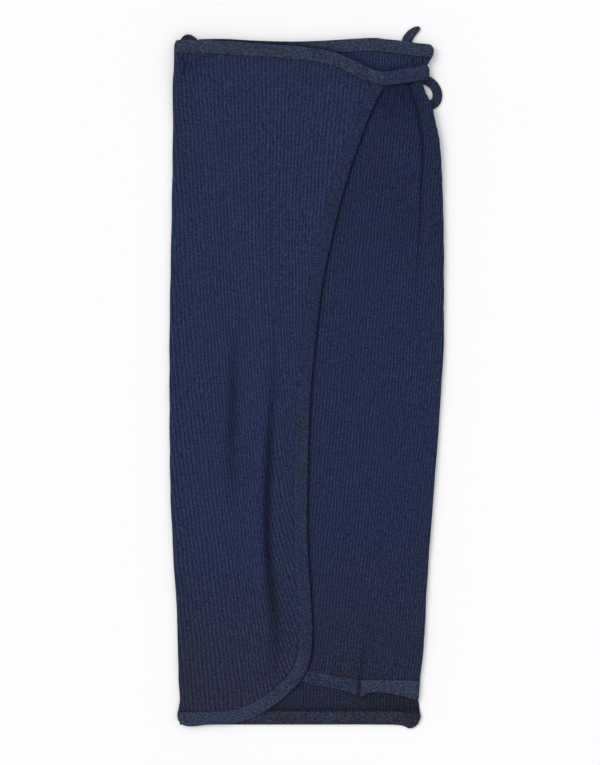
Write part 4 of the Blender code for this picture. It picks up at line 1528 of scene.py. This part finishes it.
def light_scene():
    """One wide soft key from the upper left, in an even white surround."""
    world = bpy.data.worlds.new("studio")
    world.use_nodes = True
    background = world.node_tree.nodes["Background"]
    background.inputs["Color"].default_value = (0.97, 0.97, 1.0, 1)
    background.inputs["Strength"].default_value = 0.81
    bpy.context.scene.world = world
    data = bpy.data.lights.new("key", "SUN")
    data.energy = 1.12
    data.angle = math.radians(34)
    data.color = (1.0, 0.995, 0.96)
    new_object("key", data).rotation_euler = (math.radians(-20), math.radians(-44), 0.0)
    bpy.context.scene.view_settings.view_transform = "Standard"


def make_camera():
    """Camera straight above the cloth."""
    data = bpy.data.cameras.new("camera")
    data.lens = LENS
    data.sensor_width = SENSOR
    data.clip_end = 20
    camera = new_object("camera", data)
    distance = LENS / SENSOR * VIEW_HEIGHT + CLOTH_PLANE
    camera.location = (VIEW_CENTRE[0] * MM, VIEW_CENTRE[1] * MM, distance * MM)
    bpy.context.scene.camera = camera


def declare(piece, width, length, rests_on):
    """Takes what a piece of cloth was cut to, in millimetres, and what it lies on, and does nothing
    with them.
    """
    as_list(rests_on)


def main():
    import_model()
    make_floor()
    light_scene()
    make_camera()
    rib = rib_knit("rib_knit", (0.0178, 0.0257, 0.0672), (0.0206, 0.0236, 0.0465))
    inside = rib_knit("rib_knit_inside", (0.0205, 0.0238, 0.0450), (0.0205, 0.0238, 0.0450))
    plain = binding("binding", (0.0157, 0.0228, 0.0560), (0.0312, 0.0390, 0.0700))
    hem = binding("hem_binding", (0.0212, 0.0236, 0.0430), (0.0350, 0.0380, 0.0620))

    corner = (OVER_CORNER_X, float(over_seam(OVER_CORNER_X)))
    outer, inner, straight = stations(OVER_EDGE, OVER_HEM, -1, corner, over_seam)
    over = make_over_panel(panel_edge(outer, inner, straight), rib)
    over_band = edge_binding(
        "over_edge_binding", -1, outer, inner, plain, "over_edge_band", over_edge_greyness
    )
    over_length = lengths(outer)[-1] + OVER_TURNS

    corner = (UNDER_BAND_START + BAND_WIDTH, float(under_seam(UNDER_CORNER_X)))
    outer, inner, straight = stations(UNDER_EDGE, UNDER_HEM, 1, corner, under_seam)
    under = make_under_panel(panel_edge(outer, inner, straight), rib)
    under_band = edge_binding(
        "under_edge_binding", 1, outer, inner, plain, "under_edge_band", under_edge_greyness
    )
    under_length = lengths(outer)[-1] + UNDER_TURNS

    back = make_back_panel(inside)
    back_waist = back_strip(
        "back_waist_binding", back_seam, back_waist_top, WAIST_LEVEL, plain, "back_waistband", 0.4
    )
    back_hem = back_strip(
        "back_hem_binding", hem_edge, hem_seam, HEM_LEVEL, hem, "back_hem_band", 0.2
    )
    over_waist = make_waistband(
        "over_waist_binding", -1, over_line, CORNER_X, plain, "over_waistband", 0.75
    )
    under_waist = make_waistband(
        "under_waist_binding", 1, under_line, UNDER_BAND_START, plain, "under_waistband", 0.8
    )
    tie = make_waist_tie(plain)
    turn = make_tie_turn(plain)
    knot = make_knot(plain)
    route = smooth_route(UNDER_TIE, 6.0)
    under_tie = strip("under_tie_cloth", route, BAND_WIDTH / 2, plain, "under_tie")
    route = smooth_route(TIE_LOOP, 1.5)
    # the loop's 0.3 is an even painted shade
    loop = strip("tie_loop_cloth", route, LOOP_HALF, plain, "tie_loop", 0.5, 0.3)
    route = smooth_route(TIE_END, 1.5)
    width = read(TIE_END, "y", "half", route[:, 1])
    end = strip("tie_end_cloth", route, width, plain, "tie_end", 0.9, 0.0, 0.95)

    declare(over, 242, 765, ["under_cloth", "back_cloth"])
    declare(under, 280, 732, ["back_cloth"])
    declare(back, 314, 767, ["floor"])
    strips = (
        (over_band, BAND_WIDTH, over_length, ["under_cloth", "back_cloth"]),
        (under_band, BAND_WIDTH, under_length, ["back_cloth"]),
        (back_waist, BAND_WIDTH, 290, ["under_tie_cloth"]),
        (back_hem, BAND_WIDTH, 278, ["floor"]),
        (over_waist, BAND_WIDTH, 255, ["under_waist_binding"]),
        (under_waist, BAND_WIDTH, 278, ["back_waist_binding"]),
        (tie, 2 * TIE_HALF, 90, ["under_cloth"]),
        (turn, 20, 32, ["back_waist_binding"]),
        (knot, 18, 42, ["floor"]),
        (under_tie, BAND_WIDTH, 256, ["floor"]),
        (loop, 2 * LOOP_HALF, 78, ["floor"]),
        (end, 2 * LOOP_HALF, 60, ["floor"]),
    )
    for piece, width, length, rests_on in strips:
        declare(piece, width, length, rests_on)


main()
